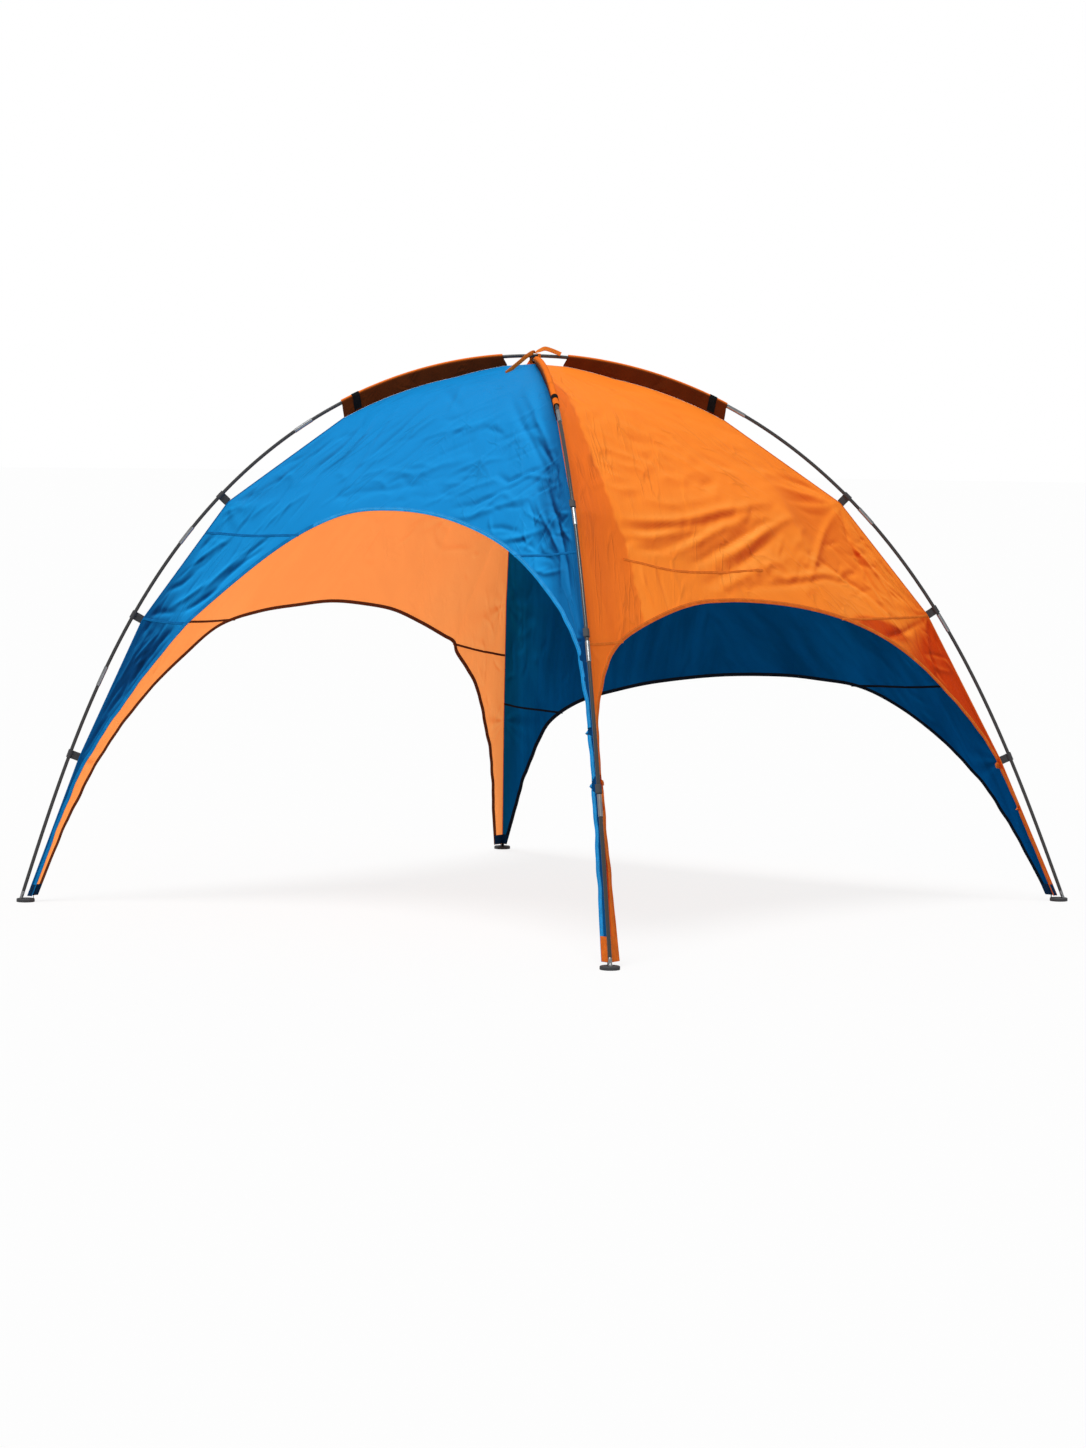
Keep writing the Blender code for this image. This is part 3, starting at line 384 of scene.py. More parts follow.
class SharedEffect(Enum):
    """Node groups that several finishes share, and the sockets each of them has."""

    WEAVE = ("weave", ("Vector", "Threads"), ("Height",))
    CRINKLE = ("crinkle", ("Vector", "Size", "Turn"), ("Height", "Tone"))
    STITCH = ("stitch", ("Vector", "Row", "Pitch"), ("Mask",))
    WEAR = ("wear", ("Vector", "Size"), ("Mask",))

    def group(self) -> bpy.types.NodeTree:
        """Return the node group, drawn once by the method of its name."""
        title, inputs, outputs = self.value
        found = bpy.data.node_groups.get(title)
        if found:
            return found
        tree = bpy.data.node_groups.new(title, "ShaderNodeTree")
        for way, names in (("INPUT", inputs), ("OUTPUT", outputs)):
            for name in names:
                kind = "NodeSocketVector" if name == "Vector" else "NodeSocketFloat"
                tree.interface.new_socket(name=name, in_out=way, socket_type=kind)
        board = NodeBoard(tree)
        given = board.add("NodeGroupInput").outputs
        board.add("NodeGroupOutput", **getattr(self, f"draw_{title}")(board, given))
        return tree

    @staticmethod
    def draw_weave(board: NodeBoard, given: Any) -> dict[str, Socket]:
        """Plain weave: the product of a sine across and a sine along, with Threads in each metre."""
        parts = board.add("SeparateXYZ", i0=given["Vector"]).outputs
        turns = board.times(given["Threads"], pi)
        across = board.math("SINE", board.times(parts[0], turns))
        along = board.math("SINE", board.times(parts[1], turns))
        return {"Height": board.times(board.times(across, along), 0.5, 0.5)}

    @staticmethod
    def draw_crinkle(board: NodeBoard, given: Any) -> dict[str, Socket]:
        """Fine creases: cell borders of a stretched and bent cell pattern, with soft swells under them.

        The cells are 1 / 0.42 times as long as wide. A noise about twice their size bends them, and one
        about three times their size says where the borders show.
        """
        place, size = given["Vector"], given["Size"]
        scale = board.math("DIVIDE", 1.0, size)
        turned = board.add("VectorRotate", {"rotation_type": "Z_AXIS"}, Vector=place, Angle=given["Turn"])
        drift = board.noise(place, board.times(scale, 0.45), 2.0)["Color"]
        level = board.add("CombineXYZ", X=size, Y=size).outputs[0]
        shifted = board.scaled(drift, level, board.scaled(turned.outputs[0], (0.42, 1.0, 1.0)))
        cells = board.add("TexVoronoi", {"feature": "DISTANCE_TO_EDGE"}, Vector=shifted, Scale=scale)
        crease = board.minus(1.0, board.spread(cells.outputs["Distance"], 0.0, 0.16))
        shown = board.spread(board.noise(place, board.times(scale, 0.3), 1.0)[0], 0.45, 0.66)
        soft = board.noise(shifted, board.times(scale, 0.8), 3.0)[0]
        height = board.times(board.times(crease, shown), 0.55, board.times(soft, 0.6))
        return {"Height": height, "Tone": soft}

    @staticmethod
    def draw_stitch(board: NodeBoard, given: Any) -> dict[str, Socket]:
        """A row of stitches at the place Row across the strip, one stitch in each Pitch along it."""
        thread_edge, stitch_share = (0.0004, 0.0009), 0.72
        parts = board.add("SeparateXYZ", i0=given["Vector"]).outputs
        gap = board.math("ABSOLUTE", board.minus(parts[1], given["Row"]))
        near = board.minus(1.0, board.spread(gap, *thread_edge))
        place = board.math("FRACT", board.math("DIVIDE", parts[0], given["Pitch"]))
        return {"Mask": board.times(near, board.math("LESS_THAN", place, stitch_share))}

    @staticmethod
    def draw_wear(board: NodeBoard, given: Any) -> dict[str, Socket]:
        """Patchy dust and rubbing: two scales of noise, nine times apart, multiplied and sharpened."""
        scale = board.math("DIVIDE", 1.0, given["Size"])
        broad = board.noise(given["Vector"], scale, 4.0)[0]
        fine = board.noise(given["Vector"], board.times(scale, 9.0), 3.0)[0]
        return {"Mask": board.spread(board.times(broad, fine), 0.16, 0.42)}


def opaque(colour: Iterable[float]) -> tuple[float, ...]:
    """A colour with full alpha."""
    return (*colour, 1.0)


@dataclass(frozen=True)
class Finish:
    """What every finish has.

    Glow is painted light: an emission that stands in for the daylight that comes through the thin cloth from behind.
    """

    name: str
    colour: Triple
    roughness: float = 0.6
    specular: float = 0.06
    metallic: float = 0.0
    glow: float = 0.0

    def material(self) -> bpy.types.Material:
        """Return the material, drawn once."""
        found = bpy.data.materials.get(self.name)
        if found:
            return found
        made = bpy.data.materials.new(self.name)
        made.use_nodes = True
        made.diffuse_color = opaque(self.colour)
        board = NodeBoard(made.node_tree)
        colour, rough, normal = self.draw(board)
        shader = board.add(
            "BsdfPrincipled", Base_Color=colour, Roughness=rough, Normal=normal, Metallic=self.metallic,
            Specular_IOR_Level=self.specular, Emission_Strength=self.glow,
        )
        # Painted light: the finish's own colour is given out as emission at the glow strength.
        if self.glow:
            board.tree.links.new(colour, shader.inputs["Emission Color"])
        board.add("OutputMaterial", Surface=shader.outputs[0])
        return made

    def draw(self, board: NodeBoard) -> tuple[Socket, Socket, Socket]:
        """Colour, roughness and normal; each kind of finish has its own way."""
        raise NotImplementedError

    def shade(self, factor: float, lift: float = 0.0) -> tuple[float, ...]:
        """The main colour times a factor, with a little light added."""
        return opaque(min(1.0, part * factor + lift) for part in self.colour)


@dataclass(frozen=True)
class ClothFinish(Finish):
    """Coated polyester: fine weave, crinkles, soft change of colour, painted shade and painted highlight where marked.

    Tone -1 is the light colour (painted highlight), 0 the main one, 1 the dark one (painted shade), 2 a share of the
    dark one.
    """

    # Colours that the tone mixes in: painted shade, painted highlight, and a deeper painted shade.
    dark_colour: Triple = (0.0, 0.0, 0.0)
    light_colour: Triple = (1.0, 1.0, 1.0)
    deep_share: float = 0.12
    threads: float = 1600.0
    crinkle_size: float = 0.05
    crinkle_depth: float = 0.0035
    mottle: float = 0.05
    crease_shade: float = 0.14
    weave_shade: float = 0.03
    weave_depth: float = 0.0002

    def draw(self, board: NodeBoard) -> tuple[Socket, Socket, Socket]:
        """Colour from the tone attribute and the crinkles, and normal from crinkles and weave."""
        metres = board.metres()
        tone = board.add("Attribute", {"attribute_name": "tone"}).outputs["Fac"]
        weave = board.effect(SharedEffect.WEAVE, Vector=metres, Threads=self.threads)[0]
        first = board.effect(SharedEffect.CRINKLE, Vector=metres, Size=self.crinkle_size, Turn=0.5)
        second = board.effect(SharedEffect.CRINKLE, Vector=metres, Size=self.crinkle_size * 2.1, Turn=-0.7)
        # Painted shade and painted highlight: the tone attribute mixes toward the dark colour, a deeper share of it,
        # and the light colour.
        colour = board.blend(tone, self.shade(1.0), opaque(self.dark_colour))
        deep = opaque(part * self.deep_share for part in self.dark_colour)
        colour = board.blend(board.minus(tone, 1.0), colour, deep)
        colour = board.blend(board.times(tone, -1.0), colour, opaque(self.light_colour))
        swell = board.spread(board.math("ADD", first["Tone"], second["Tone"]), 0.7, 1.3)
        colour = board.blend(swell, colour, opaque([1 + self.mottle] * 3), "MULTIPLY")
        # Painted shade in the creases: darker along the crinkles' cell borders.
        crease = board.spread(first["Height"], 0.55, 0.95)
        colour = board.blend(crease, colour, opaque([1 - self.crease_shade] * 3), "MULTIPLY")
        grain = board.blend(weave, opaque([1 - self.weave_shade] * 3), opaque([1.0] * 3))
        colour = board.blend(1.0, colour, grain, "MULTIPLY")
        folds = board.bump(board.times(second["Height"], 1.6, first["Height"]), 0.8, self.crinkle_depth)
        rough = board.times(first["Tone"], 0.16, self.roughness - 0.08)
        return colour, rough, board.bump(weave, 0.25, self.weave_depth, Normal=folds)


@dataclass(frozen=True)
class StripFinish(Finish):
    """Sewn strip such as a hem, binding, seam tape or webbing, with ribs and rows of stitches."""

    thread: Triple = (0.1, 0.1, 0.1)
    rows: tuple[float, ...] = (0.002,)
    ribs: float = 900.0
    rib_depth: float = 0.00025
    pitch: float = 0.0045
    wear_size: float = 0.03

    def draw(self, board: NodeBoard) -> tuple[Socket, Socket, Socket]:
        """Colour from dust and stitches, and normal from ribs and stitches."""
        metres = board.metres()
        height = board.effect(SharedEffect.WEAVE, Vector=metres, Threads=self.ribs)[0]
        worn = board.effect(SharedEffect.WEAR, Vector=metres, Size=self.wear_size)[0]
        colour = board.blend(worn, self.shade(0.82), self.shade(1.12, 0.004))
        for row in self.rows:
            stitch = board.effect(SharedEffect.STITCH, Vector=metres, Row=row, Pitch=self.pitch)[0]
            colour = board.blend(stitch, colour, opaque(self.thread))
            height = board.times(stitch, 1.5, height)
        return colour, board.times(worn, 0.15, self.roughness), board.bump(height, 0.7, self.rib_depth)


@dataclass(frozen=True)
class PlasticFinish(Finish):
    """Moulded plastic or painted fibreglass: fine grain, faint scuffs and dust."""

    grain_size: float = 0.0012
    grain_depth: float = 0.00008
    scuff_size: float = 0.02
    specular: float = 0.0

    def draw(self, board: NodeBoard) -> tuple[Socket, Socket, Socket]:
        """Colour and roughness from scuffs, and normal from the grain."""
        place = board.place()
        worn = board.effect(SharedEffect.WEAR, Vector=place, Size=self.scuff_size)[0]
        grain = board.noise(place, 1 / self.grain_size, 2.0)[0]
        colour = board.blend(worn, self.shade(1.0), self.shade(1.5, 0.003))
        return colour, board.times(worn, 0.18, self.roughness), board.bump(grain, 0.5, self.grain_depth)


@dataclass(frozen=True)
class MetalFinish(Finish):
    """Drawn steel: fine lines along the tube and small changes of gloss."""

    line_size: float = 0.0006
    line_depth: float = 0.00005
    wear_size: float = 0.015
    specular: float = 0.5
    metallic: float = 1.0

    def draw(self, board: NodeBoard) -> tuple[Socket, Socket, Socket]:
        """Colour and roughness from dust and drawing lines, and normal from the lines."""
        stretched = board.scaled(board.metres(), (0.03, 1.0, 1.0))
        lines = board.noise(stretched, 1 / self.line_size, 2.0)[0]
        worn = board.effect(SharedEffect.WEAR, Vector=board.place(), Size=self.wear_size)[0]
        colour = board.blend(worn, self.shade(0.85), self.shade(1.1))
        return colour, board.times(lines, 0.2, self.roughness - 0.1), board.bump(lines, 0.3, self.line_depth)


BLUE_CLOTH = ClothFinish(
    "blue_cloth_outside", (0.006, 0.257, 0.640), 0.55,
    dark_colour=(0.0005, 0.055, 0.190), light_colour=(0.012, 0.38, 0.86),
)
# The blue cloth's inner side, painted dark: painted shade, the same blue cloth as it looks in the shade inside the
# tent.
PAINTED_SHADE_BLUE_LINING = ClothFinish(
    "blue_cloth_inside", (0.0007, 0.068, 0.232), 0.70,
    dark_colour=(0.0005, 0.025, 0.080), light_colour=(0.001, 0.13, 0.40),
    specular=0.0, crinkle_depth=0.003, crinkle_size=0.09, mottle=0.60, crease_shade=0.0,
)
# The outer orange cloth gets a faint glow: painted light, an emission in place of daylight through the cloth.
ORANGE_CLOTH = ClothFinish(
    "orange_cloth_outside", (0.990, 0.245, 0.024), 0.55,
    dark_colour=(0.600, 0.046, 0.003), light_colour=(1.0, 0.36, 0.060), glow=0.07,
)
# The orange cloth's inner side: a lighter colour and a strong glow, painted light standing in for daylight shining
# through the cloth.
ORANGE_LINING = ClothFinish(
    "orange_cloth_inside", (1.0, 0.330, 0.085), 0.65,
    dark_colour=(0.80, 0.15, 0.02), light_colour=(1.0, 0.40, 0.12),
    specular=0.0, crinkle_depth=0.001, crease_shade=0.03, glow=0.55,
)
# Sleeve cloth: the main colour is painted shade, the orange cloth as it looks in shade; its dark colour slot holds the
# lit orange, painted along the top as painted light.
SLEEVE_CLOTH = ClothFinish(
    "sleeve_cloth", (0.095, 0.019, 0.005), 0.65, dark_colour=(0.90, 0.190, 0.018), crinkle_size=0.03, specular=0.02
)
BLUE_HEM = StripFinish("blue_hem", (0.010, 0.300, 0.720), thread=(0.12, 0.48, 0.86), rows=(0.003, 0.009))
BLUE_EDGE = StripFinish("blue_edge", (0.003, 0.210, 0.550), thread=(0.003, 0.14, 0.42), rows=(0.003, 0.009))
# Binding and tape darkened from orange to brown: painted shade, as these strips are seen on the cloth's shaded inner
# side.
PAINTED_SHADE_BINDING = StripFinish("brown_binding", (0.200, 0.045, 0.012), thread=(0.30, 0.08, 0.02))
ORANGE_HEM = StripFinish("orange_hem", (0.750, 0.140, 0.014), thread=(0.95, 0.36, 0.07), rows=(0.002, 0.006))
NAVY_TAPE = StripFinish("navy_tape", (0.001, 0.006, 0.016), thread=(0.004, 0.02, 0.05))
BLUE_SEAM = StripFinish("blue_seam", (0.003, 0.170, 0.460), thread=(0.002, 0.08, 0.28), rows=(0.0015, 0.0065))
ORANGE_SEAM = StripFinish("orange_seam", (0.900, 0.200, 0.022), thread=(0.66, 0.11, 0.012), rows=(0.0015, 0.0065))
NAVY_PATCH = StripFinish("navy_patch", (0.003, 0.030, 0.090), thread=(0.01, 0.06, 0.16), rows=(0.004,), ribs=1200)
ORANGE_PATCH = StripFinish("orange_patch", (0.880, 0.180, 0.020), thread=(0.55, 0.09, 0.01), rows=(0.004,), ribs=1200)
BLACK_WEBBING = StripFinish(
    "black_webbing", (0.008, 0.008, 0.009), 0.8, thread=(0.03, 0.03, 0.03), ribs=700, rib_depth=0.0005
)
ORANGE_TAPE = StripFinish(
    "orange_tape", (0.900, 0.230, 0.025), 0.7, thread=(0.95, 0.40, 0.10), rows=(0.0015, 0.0125),
    ribs=700, rib_depth=0.0004,
)
BLACK_CORD = StripFinish("black_cord", (0.016, 0.016, 0.018), 0.85, thread=(0.04, 0.04, 0.04), rows=())
POLE_BLACK = PlasticFinish("pole_black", (0.003, 0.003, 0.0034), 0.62)
FOOT_BLACK = PlasticFinish("foot_black", (0.006, 0.006, 0.007), 0.55)
CLIP_BLACK = PlasticFinish("clip_black", (0.005, 0.005, 0.006), 0.5)
STEEL = MetalFinish("ferrule_steel", (0.44, 0.45, 0.46), 0.34)


@dataclass(frozen=True)
class TentPlan:
    """Sizes that the sub-assemblies share, in metres."""

    base_side: float = 2.70
    crossing_height: float = 1.990
    crossing_shift: float = 0.072
    touch_gap: float = 0.0003
    pole_diameter: float = 0.0127
    pole_bore: float = 0.0075
    ferrule_length: float = 0.075
    ferrule_wall: float = 0.00085
    tip_length: float = 0.0275
    spigot_length: float = 0.020
    foot_diameter: float = 0.066
    foot_thickness: float = 0.012
    socket_floor: float = 0.00585
    socket_outboard: float = 0.016
    foot_tilt_deg: float = 8.0
    cloth_ease: float = 0.002
    corner_inset: float = 0.007
    peak_drop: float = 0.0225
    fold_share: float = 0.03
    sag_share: float = 0.025
    clip_reach: float = 0.036
    clip_length: float = 0.030
    clip_wall: float = 0.003
    clip_stand_off: float = 0.003
    line_samples: int = 4001
    solver_rounds: int = 60

    @property
    def pole_radius(self) -> float:
        """Outer radius of a pole section."""
        return self.pole_diameter / 2

    @property
    def ferrule_radius(self) -> float:
        """Outer radius of a ferrule."""
        return self.pole_radius + self.touch_gap + self.ferrule_wall

    @property
    def tip_height(self) -> float:
        """Height of the tip's ball centre."""
        return self.socket_floor + self.touch_gap + self.pole_radius

    @property
    def pole_spacing(self) -> float:
        """Distance between the two pole lines at the crossing."""
        return self.pole_diameter + self.touch_gap

    @property
    def cloth_bottom(self) -> float:
        """Height of the canopy's corners, clear of a tilted foot."""
        reach = self.foot_diameter / 2 + self.socket_outboard
        return self.foot_thickness + reach * sin(radians(self.foot_tilt_deg)) + self.cloth_ease

    @property
    def clip_pivot_drop(self) -> float:
        """Distance from the pole line to a clip's pivot."""
        return self.clip_reach - self.touch_gap - self.clip_wall / 2


PLAN = TentPlan()


def springy_arch(rise: float, span: float) -> tuple[Array, Array]:
    """Centre line of a straight springy rod bent between two pinned ends.

    The slope's half-angle sine is bend * sin(t), so the curve is round at the top and straight at its ends.

    Args:
        rise: height of the top over the ends.
        span: distance between the ends.

    Returns:
        The run along the span, centred on the top, and the climb above the ends.
    """
    turn = np.linspace(-pi / 2, pi / 2, PLAN.line_samples)
    least, most = 0.05, 0.85
    for _ in range(PLAN.solver_rounds):
        bend = (least + most) / 2
        sine = bend * np.sin(turn)
        pace = (1 - 2 * sine**2) / np.sqrt(1 - sine**2)
        run = running((pace[1:] + pace[:-1]) / 2 * np.diff(turn))
        climb = 2 * bend * np.cos(turn)
        if climb.max() / run[-1] < rise / span:
            least = bend
        else:
            most = bend
    scale = span / run[-1]
    return (run - run[-1] / 2) * scale, climb * scale


class BentPole:
    """A bent pole, read by the distance along it from the crossing."""

    def __init__(self, name: str, heading: Pair, crossing_height: float) -> None:
        """Bend the pole over the crossing and lean its plane toward the left foot."""
        self.name = name
        span = PLAN.base_side * sqrt(2) + 2 * PLAN.socket_outboard
        rise = crossing_height - PLAN.tip_height
        run, climb = springy_arch(rise, span)
        shift = -PLAN.crossing_shift / sqrt(2)
        lean = np.array([shift, shift, rise])
        level = unit(np.array([*heading, 0.0]))
        self.points = np.outer(run, level) + np.outer(climb / climb.max(), lean)
        self.points[:, 2] += PLAN.tip_height
        self.lean = unit(lean)
        self.side = unit(np.cross(level, lean))
        self.reach = arc_lengths(self.points)
        self.reach -= self.reach[PLAN.line_samples // 2]
        self.directions = unit(np.gradient(self.points, axis=0))

    def at(self, reach: Array | float) -> Array:
        """Points of the centre line."""
        return read_line(reach, self.reach, self.points)

    def outward(self, reach: Array | float) -> Array:
        """Directions square to the pole, in its own plane, away from the canopy."""
        return unit(np.cross(self.side, read_line(reach, self.reach, self.directions)))

    def placed(self, reach: Array, sideways: Array | float, outwards: Array | float) -> Array:
        """Points beside the pole: each offset is measured square to it."""
        reach, sideways, outwards = np.broadcast_arrays(reach, sideways, outwards)
        return self.at(reach) + sideways[..., None] * self.side + outwards[..., None] * self.outward(reach)

    def rings(self, stations: Array, radii: Array | float, sides: int) -> Array:
        """Rings of points round the centre line, one for each station and its radius."""
        turn = np.arange(sides) * 2 * pi / sides
        radii = np.broadcast_to(radii, np.shape(stations))[:, None]
        return self.placed(np.asarray(stations)[:, None], radii * np.sin(turn), radii * np.cos(turn))


@dataclass(frozen=True)
class Arm:
    """One half of a pole, from the crossing down to a foot."""

    name: str
    pole: BentPole
    sign: int
    joint_shares: tuple[float, ...]
    clip_shares: tuple[float, ...]
    sleeve_start: float
    peak_depth: float
    sleeve_end: float = 0.732
    seam_lead: float = 0.015
    seam_trail: float = 0.018
    neck: Pair = (0.120, 0.034)
    shoulder: Pair = (0.300, 0.051)
    outer_depth: float = 0.052

    @property
    def length(self) -> float:
        """Distance along the pole from the crossing to the tip's ball centre."""
        return abs(self.pole.reach[0 if self.sign < 0 else -1])

    @property
    def foot(self) -> Array:
        """Centre of the tip's ball."""
        return self.pole.at(self.sign * self.length)

    @property
    def outboard(self) -> Array:
        """Level direction from the middle of the base to the foot."""
        return unit(self.foot * np.array([1, 1, 0]))

    @property
    def seam_reach(self) -> Pair:
        """Distances where the sleeve's seam starts and ends, a little past the tunnel itself."""
        return self.sleeve_start - self.seam_lead, self.sleeve_end + self.seam_trail

    def joints(self) -> list[float]:
        """Distances of the ferrules' middles."""
        return [share * self.length for share in self.joint_shares]

    def clips(self) -> list[float]:
        """Distances of the clips, each slid up the pole where a ferrule would be in its way."""
        room = (PLAN.ferrule_length + PLAN.clip_length) / 2 + PLAN.clip_stand_off
        places = [share * self.length for share in self.clip_shares]
        for index, place in enumerate(places):
            for joint in self.joints():
                if abs(place - joint) < room:
                    places[index] = joint - room
        return places

    def seam_depth(self, distance: Array | float) -> Array:
        """Depth of the canopy's ridge below the pole line, along the sleeve."""
        reaches = (0, self.neck[0], self.shoulder[0], self.sleeve_end)
        depths = (self.peak_depth, self.neck[1], self.shoulder[1], self.outer_depth)
        return np.interp(distance, reaches, depths)

    def clip_matrix(self, distance: float) -> Array:
        """Matrix at a clip's pivot: X along the pole, Z away from the canopy."""
        ends = self.pole.at(self.sign * distance + np.array([-0.5, 0.5]) * PLAN.clip_length)
        along = unit(ends[1] - ends[0])
        outward = unit(np.cross(self.pole.side, along))
        return frame_matrix(ends.mean(axis=0) - outward * PLAN.clip_pivot_drop, along, outward)

    def knots(self) -> list[Array]:
        """Points of the ridge that the clips hold."""
        drop = (PLAN.clip_pivot_drop - PLAN.clip_reach) * UP
        return [moved(drop, self.clip_matrix(place)) for place in self.clips()]


@dataclass(frozen=True)
class Ridge:
    """The canopy's edge under one arm, from the peak to the foot.

    Slack is 0 at the clips and along the sleeve and 1 midway between two clips.
    """

    arm: Arm
    points: Array
    outward: Array
    slack: Array
    loose_from: int

    @classmethod
    def under(cls, arm: Arm, peak: Array, sewn_count: int = 120, chord_count: int = 64) -> "Ridge":
        """Draw the ridge: parallel to the sleeve, then straight from clip to clip and down to the foot.

        Args:
            arm: the arm above it.
            peak: where the four ridges meet.
            sewn_count: number of points along the sleeve.
            chord_count: number of points from clip to clip.

        Returns:
            The ridge.
        """
        seam = np.linspace(*arm.seam_reach, sewn_count)
        sewn = arm.pole.placed(arm.sign * seam, 0, -arm.seam_depth(seam))
        corner = arm.foot - arm.outboard * (PLAN.socket_outboard + PLAN.corner_inset)
        corner[2] = PLAN.cloth_bottom
        corner -= arm.pole.side * ((corner - arm.foot) @ arm.pole.side)
        points, slack = [peak[None], sewn], [np.zeros(1 + sewn_count)]
        share = np.linspace(0, 1, chord_count + 1)[1:]
        start = sewn[-1]
        for knot in [*arm.knots(), corner]:
            points.append(start + (knot - start) * share[:, None])
            slack.append(np.sin(pi * share))
            start = knot
        line = join(*points)
        outward = arm.sign * unit(np.cross(arm.pole.side, np.gradient(line, axis=0)))
        outward[0] = UP
        return cls(arm, line, outward, join(*slack), 1 + sewn_count)


@dataclass(frozen=True)
class Fold:
    """One fold: its line in the panel's front view, and its half width and rise in millimetres."""

    line: tuple[Pair, ...]
    half_width: float
    rise: float


def folds(*rows: tuple[float, ...]) -> tuple[Fold, ...]:
    """Folds from rows of half width, rise and the places of the line, all in millimetres."""
    return tuple(Fold(pairs(*places), half_width, rise) for half_width, rise, *places in rows)


@dataclass(frozen=True)
class CreasePatch:
    """Small creases strewn over part of a panel: places and lengths in metres, widths and rises in mm."""

    centre: Pair
    spread: Pair
    count: int
    bearing: float
    turn: float = 22.0
    half_lengths: Pair = (0.025, 0.09)
    half_widths: Pair = (5.0, 9.0)
    rises: Pair = (1.0, 2.6)

    def folds(self, draw: np.random.Generator) -> list[Fold]:
        """Draw the creases: straight lines at random places about the centre and bearings about the bearing."""
        middle = np.array(self.centre) + draw.normal(0, 1, (self.count, 2)) * np.array(self.spread)
        bearing = np.radians(draw.normal(self.bearing, self.turn, self.count))
        half = columns(np.cos(bearing), np.sin(bearing))
        half *= draw.uniform(*self.half_lengths, self.count)[:, None]
        widths = draw.uniform(*self.half_widths, self.count)
        rises = draw.uniform(*self.rises, self.count) * np.where(draw.random(self.count) < 0.5, 1, -1)
        bent = middle + half[:, ::-1] * np.array([-1, 1]) * draw.uniform(-0.25, 0.25, self.count)[:, None]
        lines = np.stack([middle - half, bent, middle + half], axis=1)
        return [Fold(tuple(map(tuple, line)), *sizes) for *sizes, line in zip(widths, rises, lines)]


@dataclass(frozen=True)
class FoldField:
    """Folds in a panel's front view, and fans of small folds that spread from where the cloth is held.

    The rise of a fold falls off as exp(-(distance / half width)^1.6) and fades toward both its ends. A fan
    at distance d and bearing b from its anchor rises as
    depth * d / (d + near) * exp(-d / reach) * (sin(5 b + p) + sin(9 b + 2 p)) / 2.
    Each anchor has its own phase p.
    """

    folds: tuple[Fold, ...] = ()
    patches: tuple[CreasePatch, ...] = ()
    seed: int = 1
    fan_depth: float = 0.004
    fan_reach: float = 0.16
    fan_near: float = 0.05

    @staticmethod
    def fold_rise(fold: Fold, place: Array) -> Array:
        """Rise of one fold at each place."""
        line = np.array(fold.line)
        reach = arc_lengths(line)
        nearest = np.full(place.shape[:-1], np.inf)
        passed = np.zeros_like(nearest)
        for start, stop, before, after in zip(line, line[1:], reach, reach[1:]):
            run = stop - start
            share = np.clip((place - start) @ run / (run @ run), 0, 1)
            gap = np.linalg.norm(place - start - share[..., None] * run, axis=-1)
            passed = np.where(gap < nearest, before + share * (after - before), passed)
            nearest = np.minimum(gap, nearest)
        fade = np.sin(pi * np.clip(passed / reach[-1], 0.02, 0.98)) ** 0.6
        return fold.rise * MILLIMETRE * fade * np.exp(-((nearest / (fold.half_width * MILLIMETRE)) ** 1.6))

    def rise(self, place: Array, anchors: Array) -> Array:
        """Height of the cloth over its smooth surface.

        Args:
            place: (across, height) of each place.
            anchors: (across, height) of the places where the cloth is held.

        Returns:
            The rise at each place.
        """
        draw = np.random.default_rng(self.seed)
        small = [fold for patch in self.patches for fold in patch.folds(draw)]
        total = np.zeros(place.shape[:-1])
        for fold in [*self.folds, *small]:
            total += self.fold_rise(fold, place)
        for number, anchor in enumerate(anchors):
            offset = place - anchor
            gap = np.linalg.norm(offset, axis=-1)
            bearing = np.arctan2(offset[..., 1], offset[..., 0])
            phase = self.seed + 1.7 * number
            ripples = (np.sin(5 * bearing + phase) + np.sin(9 * bearing + 2 * phase)) / 2
            total += self.fan_depth * gap / (gap + self.fan_near) * np.exp(-gap / self.fan_reach) * ripples
        return total


@dataclass(frozen=True)
class ToneBand:
    """A band of painted shade by a ridge (painted light if negative): width per height, edge, darkness, smoothness."""

    from_left: bool
    heights: tuple[float, ...]
    widths: tuple[float, ...]
    softness: float
    amount: float
    calm: float = 0.0


@dataclass(frozen=True)
class ToneSpot:
    """A painted shade spot (painted light if negative): centre, half length, half width in metres, bearing in degrees,
    amount.
    """

    centre: Pair
    half_size: Pair
    bearing: float
    amount: float

    def tone(self, place: Array) -> Array:
        """Amount at each place: full inside an ellipse and nothing from 1.3 of its size on."""
        turn = radians(self.bearing)
        cosine, sine = cos(turn), sin(turn)
        turned = (place - np.array(self.centre)) @ np.array([[cosine, -sine], [sine, cosine]])
        gap = np.linalg.norm(turned / np.array(self.half_size), axis=-1)
        return self.amount * (1 - smooth_step(gap, 0.7, 1.3))


@dataclass(frozen=True)
class PanelPlan:
    """One side of the canopy between two arms, seen from outside from left to right.

    The arch outline runs from the panel's left leg to its right leg. Its first value is the place between
    the two ridges at that height (-1 to 1), the second the share of the arch's height.
    """

    name: str
    left: str
    right: str
    across: Triple
    facing: Triple
    arch_top: float
    arch_shares: tuple[Pair, ...]
    outside: ClothFinish
    inside: ClothFinish
    hem: StripFinish
    seam: StripFinish
    tape: StripFinish
    slot: str
    fold_field: FoldField
    tone_bands: tuple[ToneBand, ...] = ()
    tone_spots: tuple[ToneSpot, ...] = ()
    leg_hem: StripFinish | None = None
    seams: tuple[tuple[Pair, ...], ...] = ()
    leg_seams: tuple[tuple[bool, float, float], ...] = ()


